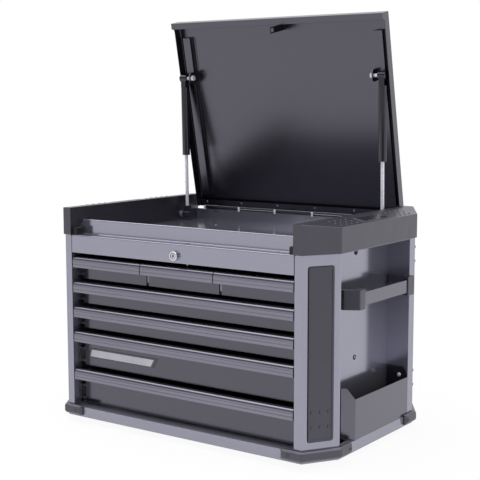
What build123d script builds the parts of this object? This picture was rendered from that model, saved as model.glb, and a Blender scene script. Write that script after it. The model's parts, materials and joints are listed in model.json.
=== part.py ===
from build123d import *
import os
from math import atan2, cos, degrees, hypot, radians, sin

# Lidded tool chest with seven drawers, in millimetres.
# X runs to the right as seen from the front, Y to the back and Z up.
# The origin is the middle of the plan at the level that the feet stand on.

# Body plan and levels
sheet = 1.5               # folded steel of the body
body_depth = 443.0        # front plane to back plane
side_half = 345.0         # middle to the outer side plane
corner_in = 42.5          # width of each cut corner
corner_run = 66.5         # depth of each cut corner
strip_width = 17.0        # plain strip beside the drawers
jamb_depth = 23.5         # return of a front pillar beside the drawers
wall_setback = 28.0       # side walls behind the front plane
pillar_edge = 4.0         # side edge behind a front corner
rear_pillar_edge = 23.5   # side edge ahead of a rear corner
recess_depth = 50.0       # side wall set in from the side plane
bend_radius = 2.5         # outer radius of a visible fold
foot_height = 13.0
foot_radius = 17.0
foot_inset_x = 32.0       # foot centre in from the end of the front strip
foot_inset_y = 54.0       # foot centre in from the front and back planes
plinth_height = 22.0
plinth_flange = 14.0
tray_level = 400.0        # top tray floor above the underside of the base

# Lock rail across the front
band_height = 39.5
band_return = 14.0
ledge_depth = 28.0
tray_front_height = 31.5
tray_lip = 6.0
tray_lip_drop = 5.0

# Top trims
trim_wall = 3.5
trim_height = 58.0        # ridge above the tray floor
trim_fall = 8.0           # outer edge below the ridge
trim_lap = 1.5            # trim inner face inside the pillar strip
trim_round = 1.2
pillar_tongue = 30.0      # pillar inside the trim

# Corner inserts and bumpers
insert_width = 53.0
insert_bottom = 41.5      # above the underside of the base
insert_top = 377.5
insert_thickness = 2.5
insert_radius = 4.0
insert_border = 4.0
insert_field_depth = 0.8
bumper_proud = 9.0
bumper_height = 22.0
bumper_lift = 4.0         # above the underside of the base
bumper_front_reach = 44.0
bumper_side_reach = 42.0
bumper_bevel = 4.5

# Drawers
large_height = 79.5
small_height = 50.5
row_gap = 4.0
front_setback = 26.0      # drawer front behind the front plane
pull_end_gap = 2.5        # pull end to the jamb
pull_gap = 2.0            # between the pulls of the top row
slide_gap = 18.5          # drawer side to the wall that carries its slide
front_gap = 6.0           # between the drawer fronts of the top row
pan_sheet = 1.2
pan_lift = 2.0            # drawer floor above the edge of its front
pan_top_drop = 11.0       # drawer side below the top of its pull
pan_hem = 6.0
pan_back_gap = 14.0       # drawer back to the back panel
pull_face = 23.6
pull_wall = 2.6
pull_round = 9.0          # rolled top edge of the pull
pull_foot = 12.0
groove_depth = 0.8
groove_width = 1.4
groove_shares = (0.42, 0.7)

# Drawer slides
rail_height = 30.0
rail_sheet = 1.2
rail_lift = 5.0           # above the drawer floor
rail_running_gap = 0.4
rail_pan_gap = 0.8
rail_depth = 9.5
rail_back_gap = 6.0
runner_front_gap = 3.0    # runner end behind the drawer front
runner_length = 380.0

# Lid and its hinge
lid_sheet = 1.2
lid_side_gap = 5.0        # lid side to the trim
lid_overhang = 4.6        # lid front ahead of the body
lid_rise = 16.5           # lid top above the hinge pin
lid_side_depth = 21.6
lid_front_depth = 31.0
lid_return = 14.0
lid_round = 4.0
lid_clearance = 1.5       # shut lid to the tray wall
lid_step_radius = 7.0
lid_open = 78.5           # degrees
rear_return = 15.0        # rear return and the lid leaf under it, ahead of the pin
leaf_rise = 3.7           # foot of the rear return above the pin
hinge_rise = 30.0         # pin above the tray floor
hinge_inset = 21.0        # hinge end in from the lid side
knuckle_count = 5
knuckle_radius = 3.2
knuckle_gap = 0.3
pin_radius = 1.5
pin_clearance = 0.05
leaf = 1.2
lower_leaf_height = 22.0  # below the pin
panel_drop = 7.0          # top of the back panel below the pin
channel_inset = 7.0       # stiffening channel in from the lid side
channel_outer_flange = 8.0
channel_inner_flange = 10.0
channel_width = 18.0
channel_height = 9.0
channel_sheet = 1.0
channel_front_gap = 38.0
channel_rear_gap = 26.0
buffer_length = 12.0
buffer_depth = 20.0
buffer_inset = 2.0
buffer_gap = 0.3
buffer_bevel = 1.5

# Gas struts
strut_inset = 19.0        # strut axis in from the trim
ball_reach = 316.0        # upper ball ahead of the pin, lid closed
ball_drop = 7.0           # upper ball below the pin, lid closed
foot_reach = 62.2         # lower ball ahead of the pin
foot_drop = 15.0          # lower ball below the pin
socket_radius = 9.0
socket_width = 18.0
socket_neck = 13.0
socket_length = 20.0
rod_radius = 4.0
tube_radius = 9.0
tube_bore = 8.0
tube_start = 142.0        # from the lower ball
tube_end = 302.0
gland_length = 8.0
tube_cap = 4.0
piston_length = 12.0
piston_rise = 30.0
piston_clearance = 0.08
rod_clearance = 0.05
stud_radius = 4.0
stud_clearance = 0.05
stud_gap = 0.3
stud_depth = 12.0         # lower stud inside its socket
stud_flange = 8.0
stud_flange_thickness = 3.0
nut_width = 11.0
nut_height = 6.0
bracket_sheet = 2.0
bracket_length = 26.0
bracket_margin = 9.0
bracket_bevel = 6.0

# Lock and striker
lock_drop = 24.0          # lock axis below the tray floor
lock_bezel_radius = 10.0
lock_bezel_length = 7.0
lock_barrel_radius = 8.5
lock_barrel_length = 16.0
lock_hole_clearance = 0.1
plug_radius = 5.5
plug_clearance = 0.05
plug_step = 0.8
key_slot_height = 6.0
key_slot_width = 1.6
key_slot_depth = 9.0
cam_length = 28.0
cam_half_width = 2.5
cam_hub_radius = 7.0
cam_thickness = 2.0
cam_rest = -43.0          # degrees above the level
striker_x = 17.0
striker_sheet = 1.5
striker_length = 60.0
striker_width = 14.0
striker_front = 11.0      # behind the front plane
striker_foot = 14.0
window_margin = 2.5
window_height = 11.0
slot_clearance = 3.0
slot_side_clearance = 1.75

# Side handles
handle_level = 301.0      # above the underside of the base
handle_bar_height = 27.0
handle_bar_thickness = 8.0
handle_bar_out = 3.0      # bar outer face beyond the side plane
grip_height = 39.0
grip_wall = 2.5
arm_thickness = 12.5
arm_gap = 49.0            # arm behind the front pillar
arm_stand = 27.5          # straight root of the arm, out from the wall
arm_run = 15.5            # depth of the slanted part
arm_end = 19.5            # straight end that holds the bar
arm_radius = 4.0
plate_inset = 4.0
plate_thickness = 7.0
lug_ahead = 8.0
lug_behind = 13.0
bar_seat = 10.0
bar_clearance = 0.1

# Side bin
bin_sheet = 1.5
bin_height = 82.5         # side panel above the base
bin_end_height = 104.0    # end plates above the base
bin_gap = 43.0            # bin behind the front pillar
bin_facet_in = 23.0       # width of the slanted front corner
bin_facet_run = 17.0      # its depth
bin_flat_share = 0.57     # sloped part of the top of that corner
bin_cut_in = 9.5
bin_cut_down = 17.0

# Places worked out from the sizes above
front_y = -body_depth / 2
back_y = body_depth / 2
front_half = side_half - corner_in
base_z = foot_height
plinth_top_z = base_z + plinth_height
tray_z = base_z + tray_level
wall_x = side_half - recess_depth
wall_inner_x = wall_x - sheet
jamb_x = front_half - strip_width
pillar_back_y = front_y + corner_run + pillar_edge
rear_pillar_y = back_y - corner_run - rear_pillar_edge
panel_y = back_y - 2 * sheet
band_bottom_z = tray_z - band_height
trim_inner_x = jamb_x - trim_lap
hinge_y = panel_y + sheet + leaf / 2
hinge_z = tray_z + hinge_rise
lid_top_z = hinge_z + lid_rise
lid_front_y = front_y - lid_overhang
lid_half = trim_inner_x - lid_side_gap
hinge_half = lid_half - hinge_inset
channel_outer = lid_half - channel_inset
channel_wall_outer = channel_outer - channel_outer_flange
channel_wall_inner = channel_wall_outer - channel_width
channel_inner = channel_wall_inner - channel_inner_flange
strut_x = trim_inner_x - strut_inset
divider_half_pitch = (jamb_x - pull_end_gap) / 3
lid_rear_y = hinge_y + leaf / 2 + lid_sheet
lid_under_z = lid_top_z - lid_sheet
lid_side_z = lid_top_z - lid_side_depth
hinge_axis = Axis((0, hinge_y, hinge_z), (1, 0, 0))
overrun = 5.0             # how far a cut runs past a face

plan_points = [
    (-front_half, front_y),
    (front_half, front_y),
    (side_half, front_y + corner_run),
    (side_half, back_y - corner_run),
    (front_half, back_y),
    (-front_half, back_y),
    (-side_half, back_y - corner_run),
    (-side_half, front_y + corner_run),
]


def save(name, part):
    """Label a finished piece and write it to its own file."""
    part.label = name
    export_step(part, f"parts/{name}.step")


def opened(part):
    """Turn a piece of the closed lid back to where the open lid holds it."""
    return part.rotate(hinge_axis, -lid_open)


def xz_plane(y):
    """Upright plane across the chest at one depth, drawn as (x, z)."""
    return Plane.XZ.offset(-y)


def save_pair(name, right_part):
    """Write a right-hand piece and its mirrored left-hand twin."""
    with BuildPart() as left:
        mirror(right_part, about=Plane.YZ)
    save(f"{name}_right", right_part)
    save(f"{name}_left", left.part)


os.makedirs("parts", exist_ok=True)

# Base pan: a floor, a skirt on the plan outline and an inward flange on top
with BuildPart() as base_pan:
    with BuildSketch(Plane.XY.offset(base_z)):
        Polygon(*plan_points, align=None)
    extrude(amount=plinth_height)
    with BuildSketch(Plane.XY.offset(base_z + sheet)):
        Polygon(*plan_points, align=None)
        offset(amount=-sheet, kind=Kind.INTERSECTION)
    extrude(amount=plinth_height - 2 * sheet, mode=Mode.SUBTRACT)
    with BuildSketch(Plane.XY.offset(plinth_top_z - sheet)):
        Polygon(*plan_points, align=None)
        offset(amount=-plinth_flange, kind=Kind.INTERSECTION)
    extrude(amount=sheet, mode=Mode.SUBTRACT)
save("base_pan", base_pan.part)

# Four round feet under the base
foot_x = front_half - foot_inset_x
with BuildPart() as feet:
    with BuildSketch():
        with GridLocations(2 * foot_x, body_depth - 2 * foot_inset_y, 2, 2):
            Circle(foot_radius)
    extrude(amount=foot_height)
save("feet", feet.part)

# Front pillar: jamb, front strip, cut corner and return to the side wall
front_path = [
    (wall_inner_x, front_y + jamb_depth),
    (jamb_x, front_y + jamb_depth),
    (jamb_x, front_y),
    (front_half, front_y),
    (side_half, front_y + corner_run),
    (side_half, pillar_back_y),
    (wall_x, pillar_back_y),
]
with BuildPart() as front_pillar:
    with BuildSketch(Plane.XY.offset(plinth_top_z)):
        with BuildLine():
            Polyline(*front_path)
            offset(amount=sheet, side=Side.LEFT, kind=Kind.INTERSECTION)
        make_face()
    extrude(amount=tray_z + pillar_tongue - plinth_top_z)
    # Above the tray the jamb gives way to the inner wall of the trim
    with BuildSketch(Plane.XY.offset(tray_z - sheet)):
        with Locations((trim_inner_x + trim_wall, front_y - overrun)):
            Rectangle(front_half, body_depth, align=(Align.MAX, Align.MIN))
    extrude(amount=pillar_tongue + overrun, mode=Mode.SUBTRACT)
save_pair("front_pillar", front_pillar.part)

# Rear pillar: back strip, cut corner, side edge and return to the side wall
rear_path = [
    (trim_inner_x + trim_wall, back_y),
    (front_half, back_y),
    (side_half, back_y - corner_run),
    (side_half, rear_pillar_y),
    (wall_x, rear_pillar_y),
]
with BuildPart() as rear_pillar:
    with BuildSketch(Plane.XY.offset(plinth_top_z)):
        with BuildLine():
            Polyline(*rear_path)
            offset(amount=sheet, side=Side.RIGHT, kind=Kind.INTERSECTION)
        make_face()
    extrude(amount=tray_z + pillar_tongue - plinth_top_z)
save_pair("rear_pillar", rear_pillar.part)

# Side wall, set in behind the pillars
wall_front_y = front_y + wall_setback
with BuildPart() as side_wall:
    with BuildSketch(Plane.XY.offset(plinth_top_z)):
        with Locations((wall_inner_x, wall_front_y)):
            Rectangle(sheet, panel_y - wall_front_y, align=Align.MIN)
    extrude(amount=tray_z - sheet - plinth_top_z)
save_pair("side_wall", side_wall.part)

# Back panel between the back strips, up to the hinge
with BuildPart() as back_panel:
    with BuildSketch(xz_plane(panel_y)):
        with Locations((0, plinth_top_z)):
            Rectangle(
                2 * (front_half - sheet),
                hinge_z - panel_drop - plinth_top_z,
                align=(Align.CENTER, Align.MIN),
            )
        # Above the tray the panel stands between the trims
        with Locations((0, tray_z)):
            with GridLocations(2 * front_half, 0, 2, 1):
                Rectangle(
                    2 * (front_half - trim_inner_x),
                    2 * hinge_rise,
                    align=(Align.CENTER, Align.MIN),
                    mode=Mode.SUBTRACT,
                )
    extrude(amount=-sheet)
save("back_panel", back_panel.part)

# Lock rail: band, ledge and the rolled front wall of the tray
ledge_y = front_y + ledge_depth
lip_z = tray_z + tray_front_height
rail_path = [
    (front_y + band_return, band_bottom_z),
    (front_y, band_bottom_z),
    (front_y, tray_z),
    (ledge_y, tray_z),
    (ledge_y, lip_z),
    (ledge_y + tray_lip, lip_z),
    (ledge_y + tray_lip, lip_z - tray_lip_drop),
]
lock_z = tray_z - lock_drop
striker_y = front_y + striker_front
with BuildPart() as lock_rail:
    with BuildSketch(Plane.YZ.offset(-trim_inner_x)):
        with BuildLine():
            FilletPolyline(*rail_path, radius=bend_radius)
            offset(amount=sheet, side=Side.RIGHT)
        make_face()
    extrude(amount=2 * trim_inner_x)
    with BuildSketch(xz_plane(front_y)):
        with Locations((0, lock_z)):
            Circle(lock_barrel_radius + lock_hole_clearance)
    extrude(amount=-sheet, mode=Mode.SUBTRACT)
    # Slot that lets the striker through the ledge
    with BuildSketch(Plane.XY.offset(tray_z)):
        with Locations((striker_x, striker_y + striker_width / 2 - slot_clearance / 2)):
            Rectangle(
                striker_sheet + 2 * slot_side_clearance,
                striker_width + slot_clearance,
            )
    extrude(amount=-sheet, mode=Mode.SUBTRACT)
    # Ends of the rolled lip cut back for the sides of the shut lid
    with BuildSketch(Plane.XY.offset(lid_side_z - lid_clearance)):
        with Locations((-trim_inner_x, ledge_y), (trim_inner_x, ledge_y)):
            Rectangle(2 * (lid_side_gap + lid_sheet + lid_clearance), 2 * (tray_lip + overrun))
    extrude(amount=lip_z - lid_side_z + lid_clearance + overrun, mode=Mode.SUBTRACT)
save("lock_rail", lock_rail.part)

# Tray floor on the side walls, reaching out under the trims over the recesses
tray_front_y = ledge_y + sheet
with BuildPart() as tray_floor:
    with BuildSketch(Plane.XY.offset(tray_z)):
        with Locations((0, tray_front_y)):
            Rectangle(2 * wall_x, panel_y - tray_front_y, align=(Align.CENTER, Align.MIN))
        with Locations((0, pillar_back_y)):
            Rectangle(2 * side_half, rear_pillar_y - pillar_back_y, align=(Align.CENTER, Align.MIN))
    extrude(amount=-sheet)
save("tray_floor", tray_floor.part)

# Top trim: a moulded cover with a flat ridge and an outward slope
trim_core = [
    (trim_inner_x + trim_wall, front_y),
    (front_half, front_y),
    (side_half, front_y + corner_run),
    (side_half, back_y - corner_run),
    (front_half, back_y),
    (trim_inner_x + trim_wall, back_y),
]
ridge_z = tray_z + trim_height
with BuildPart() as top_trim:
    with BuildSketch(Plane.XY.offset(tray_z)):
        Polygon(*trim_core, align=None)
        offset(amount=trim_wall, kind=Kind.INTERSECTION)
    extrude(amount=trim_height)
    with BuildSketch(Plane.XZ):
        with BuildLine():
            Polyline(
                (front_half, ridge_z),
                (side_half + trim_wall, ridge_z - trim_fall),
                (side_half + trim_wall + overrun, ridge_z - trim_fall),
                (side_half + trim_wall + overrun, ridge_z + overrun),
                (front_half, ridge_z + overrun),
                close=True,
            )
        make_face()
    extrude(amount=body_depth, both=True, mode=Mode.SUBTRACT)
    offset(
        amount=-trim_wall,
        openings=top_trim.faces().sort_by(Axis.Z)[0],
        kind=Kind.INTERSECTION,
    )
    outer_top = top_trim.faces().filter_by(lambda f: f.normal_at().Z > 0.5).sort_by(Axis.Z)[-2:]
    fillet(outer_top.edges().filter_by(lambda e: e.center().X > front_half), trim_round)
save_pair("top_trim", top_trim.part)

# Insert panels on the cut front corners, with a sunk field
corner_plane = Plane(
    origin=(
        front_half + corner_in / 2,
        front_y + corner_run / 2,
        base_z + (insert_bottom + insert_top) / 2,
    ),
    x_dir=(corner_in, corner_run, 0),
    z_dir=(corner_run, -corner_in, 0),
)
insert_height = insert_top - insert_bottom
with BuildPart() as insert_right:
    with BuildSketch(corner_plane):
        RectangleRounded(insert_width, insert_height, insert_radius)
    extrude(amount=insert_thickness)
    with BuildSketch(corner_plane.offset(insert_thickness)):
        Rectangle(insert_width - 2 * insert_border, insert_height - 2 * insert_border)
    extrude(amount=-insert_field_depth, mode=Mode.SUBTRACT)
with BuildPart() as pillar_inserts:
    add(insert_right.part)
    mirror(insert_right.part, about=Plane.YZ)
save("pillar_inserts", pillar_inserts.part)

# Corner bumpers: rounded bars that follow the base round each corner
bumper_z = base_z + bumper_lift
bumper_path = [
    (front_half - bumper_front_reach, front_y),
    (front_half, front_y),
    (side_half, front_y + corner_run),
    (side_half, front_y + corner_run + bumper_side_reach),
]
with BuildSketch() as plan:
    Polygon(*plan_points, align=None)
plan_face = plan.face()


def stands_proud(edge):
    """Whether the middle of an edge lies on the outside of a bumper."""
    middle = edge.position_at(0.5)
    return plan_face.distance_to(Vector(middle.X, middle.Y, 0)) > bumper_proud / 2 + bumper_proud / 4


with BuildPart() as bumper_right:
    with BuildSketch(Plane.XY.offset(bumper_z)):
        with BuildLine():
            Polyline(*bumper_path)
            offset(amount=bumper_proud, side=Side.RIGHT)
        make_face()
    extrude(amount=bumper_height)
    chamfer(bumper_right.edges().filter_by(stands_proud), bumper_bevel)
with BuildPart() as corner_bumpers:
    add(bumper_right.part)
    mirror(bumper_right.part, about=Plane.XZ)
    mirror(corner_bumpers.part, about=Plane.YZ)
save("corner_bumpers", corner_bumpers.part)

# Lid buffers at both ends of the ledge
buffer_height = lid_top_z - lid_front_depth - tray_z - buffer_gap
with BuildPart() as lid_buffers:
    with BuildSketch(Plane.XY.offset(tray_z)):
        with GridLocations(2 * trim_inner_x - buffer_length, 0, 2, 1):
            with Locations((0, front_y + buffer_inset + buffer_depth / 2)):
                Rectangle(buffer_length, buffer_depth)
    extrude(amount=buffer_height)
    chamfer(lid_buffers.faces().group_by(Axis.Z)[-1].edges(), buffer_bevel)
save("lid_buffers", lid_buffers.part)

# Rows of drawers from the bottom up: bottom level and height
row_heights = (large_height, large_height, small_height, small_height, small_height)
row_levels = []
level = plinth_top_z + row_gap
for height in row_heights:
    row_levels.append(level)
    level += height + row_gap

# Left and right walls that carry each drawer, and the ends of its pull and front
wide_walls = (-wall_inner_x, wall_inner_x)
wide_pull = (pull_end_gap - jamb_x, jamb_x - pull_end_gap)
wide_front = (slide_gap - wall_inner_x, wall_inner_x - slide_gap)
divider_inner = divider_half_pitch - sheet / 2
divider_outer = divider_half_pitch + sheet / 2
pull_inner = divider_half_pitch - pull_gap / 2
pull_outer = divider_half_pitch + pull_gap / 2
front_inner = divider_half_pitch - front_gap / 2
front_outer = divider_half_pitch + front_gap / 2
drawers = [
    (f"drawer_{5 - row}", row_levels[row], row_heights[row], wide_walls, wide_pull, wide_front)
    for row in range(4)
]
drawers += [
    ("drawer_top_left", row_levels[-1], small_height, (-wall_inner_x, -divider_outer),
     (wide_pull[0], -pull_outer), (wide_front[0], -front_outer)),
    ("drawer_top_middle", row_levels[-1], small_height, (-divider_inner, divider_inner),
     (-pull_inner, pull_inner), (-front_inner, front_inner)),
    ("drawer_top_right", row_levels[-1], small_height, (divider_outer, wall_inner_x),
     (pull_outer, wide_pull[1]), (front_outer, wide_front[1])),
]

# Dividers that hang from the tray floor and carry the slides of the top row
with BuildPart() as drawer_dividers:
    with BuildSketch(Plane.XY.offset(tray_z - sheet)):
        with Locations((0, wall_front_y)):
            with GridLocations(2 * divider_half_pitch, 0, 2, 1):
                Rectangle(sheet, panel_y - wall_front_y, align=(Align.CENTER, Align.MIN))
    extrude(amount=row_levels[-1] - (tray_z - sheet))
    with BuildSketch(Plane.XY.offset(tray_z - sheet)):
        with Locations((0, wall_front_y)):
            with GridLocations(2 * divider_half_pitch, 0, 2, 1):
                Rectangle(slide_gap, panel_y - wall_front_y, align=(Align.CENTER, Align.MIN))
    extrude(amount=-sheet)
save("drawer_dividers", drawer_dividers.part)

drawer_front_y = front_y + front_setback
pan_back_y = panel_y - pan_back_gap
rail_end_y = panel_y - rail_back_gap
runner_y = drawer_front_y + pan_sheet + runner_front_gap
pull_tail_y = drawer_front_y - pull_wall


def drawer_pan(bottom_z, height, walls, front):
    """Open drawer with hemmed sides and the front that it hangs behind."""
    left, right = walls[0] + slide_gap, walls[1] - slide_gap
    floor_z = bottom_z + pan_lift
    side_top_z = bottom_z + height - pan_top_drop
    middle = ((left + right) / 2, (drawer_front_y + pan_back_y) / 2)
    width, depth = right - left, pan_back_y - drawer_front_y
    with BuildPart() as pan:
        with BuildSketch(Plane.XY.offset(floor_z)):
            with Locations(middle):
                Rectangle(width, depth)
        extrude(amount=side_top_z - floor_z)
        offset(amount=-pan_sheet, openings=pan.faces().sort_by(Axis.Z)[-1], kind=Kind.INTERSECTION)
        with BuildSketch(Plane.XY.offset(side_top_z)):
            with Locations(middle):
                Rectangle(width, depth)
                Rectangle(width - 2 * pan_hem, depth - 2 * pan_hem, mode=Mode.SUBTRACT)
        extrude(amount=-pan_sheet)
        with BuildSketch(xz_plane(drawer_front_y)):
            with Locations((front[0], bottom_z)):
                Rectangle(front[1] - front[0], height - pull_wall, align=Align.MIN)
        extrude(amount=-pan_sheet)
    return pan.part


def drawer_pull(bottom_z, height, ends):
    """Full-width pull: an extrusion open at the top, with a rolled edge to hook fingers over."""
    top_z = bottom_z + height
    face_bottom_z = top_z - pull_face
    floor_z = face_bottom_z + pull_wall
    with BuildPart() as pull:
        with BuildSketch(Plane.YZ.offset(ends[0])):
            with BuildLine():
                Polyline(
                    (front_y, face_bottom_z),
                    (drawer_front_y, face_bottom_z),
                    (drawer_front_y, floor_z + pull_foot),
                    (pull_tail_y, floor_z + pull_foot),
                    (pull_tail_y, floor_z),
                    (front_y + pull_wall, floor_z),
                    (front_y + pull_wall, top_z - pull_round),
                )
                CenterArc((front_y + pull_round, top_z - pull_round), pull_round - pull_wall, 180, -90)
                Line((front_y + pull_round, top_z - pull_wall), (front_y + pull_round, top_z))
                CenterArc((front_y + pull_round, top_z - pull_round), pull_round, 90, 90)
                Line((front_y, top_z - pull_round), (front_y, face_bottom_z))
            make_face()
            with Locations(*[(front_y, top_z - share * pull_face) for share in groove_shares]):
                Rectangle(2 * groove_depth, groove_width, mode=Mode.SUBTRACT)
        extrude(amount=ends[1] - ends[0])
    return pull.part


def slide_sides(walls):
    """Wall face and inward direction for the two slides of a drawer."""
    return ((walls[0], 1), (walls[1], -1))


def channel_outline(wall, inward, middle_z):
    """Section of a fixed slide channel on a wall, open towards the drawer."""
    depth = slide_gap - rail_pan_gap
    with BuildSketch(xz_plane(wall_front_y)) as outline:
        with Locations((wall + inward * depth / 2, middle_z)):
            Rectangle(depth, rail_height)
        with Locations((wall + inward * (depth + rail_sheet) / 2, middle_z)):
            Rectangle(depth - rail_sheet, rail_height - 2 * rail_sheet, mode=Mode.SUBTRACT)
    return outline.sketch


def drawer_runners(walls, middle_z):
    """Pair of runners on a drawer, each inside its fixed channel."""
    runner_height = rail_height - 2 * rail_sheet - 2 * rail_running_gap
    with BuildPart() as runners:
        with BuildSketch(xz_plane(runner_y)):
            for wall, inward in slide_sides(walls):
                pan_side = wall + inward * slide_gap
                with Locations((pan_side - inward * rail_depth / 2, middle_z)):
                    Rectangle(rail_depth, runner_height)
                with Locations((pan_side - inward * (rail_depth + rail_sheet) / 2, middle_z)):
                    Rectangle(
                        rail_depth - rail_sheet, runner_height - 2 * rail_sheet, mode=Mode.SUBTRACT
                    )
        extrude(amount=-runner_length)
    return runners.part


rail_middle = pan_lift + rail_lift + rail_height / 2
with BuildPart() as cabinet_rails:
    for name, bottom_z, height, walls, pull_ends, front_ends in drawers:
        for wall, inward in slide_sides(walls):
            outline = channel_outline(wall, inward, bottom_z + rail_middle)
            extrude(outline, amount=wall_front_y - rail_end_y)
save("cabinet_rails", cabinet_rails.part)

for name, bottom_z, height, walls, pull_ends, front_ends in drawers:
    save(f"{name}_pan", drawer_pan(bottom_z, height, walls, front_ends))
    save(f"{name}_pull", drawer_pull(bottom_z, height, pull_ends))
    save(f"{name}_runners", drawer_runners(walls, bottom_z + rail_middle))

# Lock body: bezel in front of the band and barrel behind it
with BuildPart() as lock_body:
    with BuildSketch(xz_plane(front_y)):
        with Locations((0, lock_z)):
            Circle(lock_bezel_radius)
    extrude(amount=lock_bezel_length)
    with BuildSketch(xz_plane(front_y)):
        with Locations((0, lock_z)):
            Circle(lock_barrel_radius)
    extrude(amount=-lock_barrel_length)
    with BuildSketch(xz_plane(front_y + lock_barrel_length)):
        with Locations((0, lock_z)):
            Circle(plug_radius + plug_clearance)
    extrude(amount=lock_barrel_length + lock_bezel_length, mode=Mode.SUBTRACT)
save("lock_body", lock_body.part)

# Lock plug with its key slot
plug_face_y = front_y - lock_bezel_length + plug_step
cam_y = front_y + lock_barrel_length + stud_gap
with BuildPart() as lock_plug:
    with BuildSketch(xz_plane(plug_face_y)):
        with Locations((0, lock_z)):
            Circle(plug_radius)
    extrude(amount=plug_face_y - cam_y)
    with BuildSketch(xz_plane(plug_face_y)):
        with Locations((0, lock_z)):
            Rectangle(key_slot_width, key_slot_height)
    extrude(amount=-key_slot_depth, mode=Mode.SUBTRACT)
save("lock_plug", lock_plug.part)

# Lock cam on the back of the plug, in its unlocked place
with BuildPart() as lock_cam:
    with BuildSketch(xz_plane(cam_y)):
        with Locations((0, lock_z)):
            Circle(cam_hub_radius)
        with Locations(Location((0, lock_z), cam_rest)):
            Rectangle(cam_length, 2 * cam_half_width, align=(Align.MIN, Align.CENTER))
    extrude(amount=-cam_thickness)
save("lock_cam", lock_cam.part)

# Lid pan: a shallow folded pan with a deeper front flange and return
lid_lip_z = lid_top_z - lid_front_depth
with BuildPart() as lid_core:
    with BuildSketch(Plane.XY.offset(lid_side_z)):
        with Locations((0, lid_front_y + lid_sheet)):
            Rectangle(
                2 * (lid_half - lid_sheet),
                lid_rear_y - lid_front_y - 2 * lid_sheet,
                align=(Align.CENTER, Align.MIN),
            )
    extrude(amount=lid_side_depth - lid_sheet)
    fillet(lid_core.faces().sort_by(Axis.Z)[-1].edges(), lid_round - lid_sheet)
with BuildPart() as lid_pan:
    with BuildSketch(Plane.XY.offset(lid_side_z)):
        with Locations((0, lid_front_y)):
            Rectangle(2 * lid_half, lid_rear_y - lid_front_y, align=(Align.CENTER, Align.MIN))
    extrude(amount=lid_side_depth)
    fillet(lid_pan.faces().sort_by(Axis.Z)[-1].edges(), lid_round)
    add(lid_core.part, mode=Mode.SUBTRACT)
    # The rear flange stops above the hinge knuckles and folds in to a return for the hinge
    with BuildSketch(Plane.XY.offset(hinge_z + leaf_rise)):
        with Locations((0, lid_rear_y)):
            Rectangle(2 * (lid_half - lid_sheet), 2 * lid_sheet)
    extrude(amount=-(lid_side_depth + overrun), mode=Mode.SUBTRACT)
    with BuildSketch(Plane.XY.offset(hinge_z + leaf_rise)):
        with Locations((0, hinge_y - rear_return)):
            Rectangle(
                2 * (lid_half - lid_sheet),
                lid_rear_y - hinge_y + rear_return,
                align=(Align.CENTER, Align.MIN),
            )
    extrude(amount=lid_sheet)
    # Front flange and the return that meets the buffers
    with BuildSketch(Plane.YZ.offset(-lid_half)):
        with BuildLine():
            Polyline(
                (lid_front_y, lid_side_z),
                (lid_front_y, lid_lip_z),
                (lid_front_y + lid_return, lid_lip_z),
                (lid_front_y + lid_return, lid_lip_z + lid_sheet),
                (lid_front_y + lid_sheet, lid_lip_z + lid_sheet),
                (lid_front_y + lid_sheet, lid_side_z),
                close=True,
            )
        make_face()
    extrude(amount=2 * lid_half)
    # Closed ends of the front flange, curving up into the side flanges
    with BuildSketch(Plane.YZ.offset(-lid_half)):
        with BuildLine():
            end_y = lid_front_y + lid_return
            Line((lid_front_y, lid_side_z), (lid_front_y, lid_lip_z))
            Line((lid_front_y, lid_lip_z), (end_y, lid_lip_z))
            Line((end_y, lid_lip_z), (end_y, lid_side_z - lid_step_radius))
            RadiusArc(
                (end_y, lid_side_z - lid_step_radius),
                (end_y + lid_step_radius, lid_side_z),
                lid_step_radius,
            )
            Line((end_y + lid_step_radius, lid_side_z), (lid_front_y, lid_side_z))
        make_face()
    lid_ends = extrude(amount=lid_sheet)
    mirror(lid_ends, about=Plane.YZ)
save("lid_pan", opened(lid_pan.part))

# Stiffening channels under the lid
channel_y = lid_front_y + channel_front_gap
channel_path = [
    (channel_inner, lid_under_z),
    (channel_wall_inner, lid_under_z),
    (channel_wall_inner, lid_under_z - channel_height),
    (channel_wall_outer, lid_under_z - channel_height),
    (channel_wall_outer, lid_under_z),
    (channel_outer, lid_under_z),
]
with BuildPart() as lid_channels:
    with BuildSketch(xz_plane(channel_y)):
        with BuildLine():
            Polyline(*channel_path)
            offset(amount=channel_sheet, side=Side.RIGHT, kind=Kind.INTERSECTION)
        make_face()
    channel = extrude(amount=-(hinge_y - channel_rear_gap - channel_y))
    mirror(channel, about=Plane.YZ)
save("lid_channels", opened(lid_channels.part))

# Striker: a tab with a window for the lock cam, on a foot under the lid
striker_tip_z = lid_top_z - striker_length
with BuildPart() as striker:
    with BuildSketch(Plane.YZ.offset(striker_x - striker_sheet / 2)):
        with Locations((striker_y, striker_tip_z)):
            Rectangle(striker_width, lid_under_z - striker_tip_z, align=Align.MIN)
        with Locations((striker_y + striker_width / 2, striker_tip_z + window_margin)):
            Rectangle(
                striker_width - 2 * window_margin,
                window_height,
                align=(Align.CENTER, Align.MIN),
                mode=Mode.SUBTRACT,
            )
    extrude(amount=striker_sheet)
    with BuildSketch(Plane.XY.offset(lid_under_z)):
        with Locations((striker_x - striker_sheet / 2, striker_y)):
            Rectangle(striker_foot, striker_width, align=Align.MIN)
    extrude(amount=-striker_sheet)
save("striker", opened(striker.part))

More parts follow.
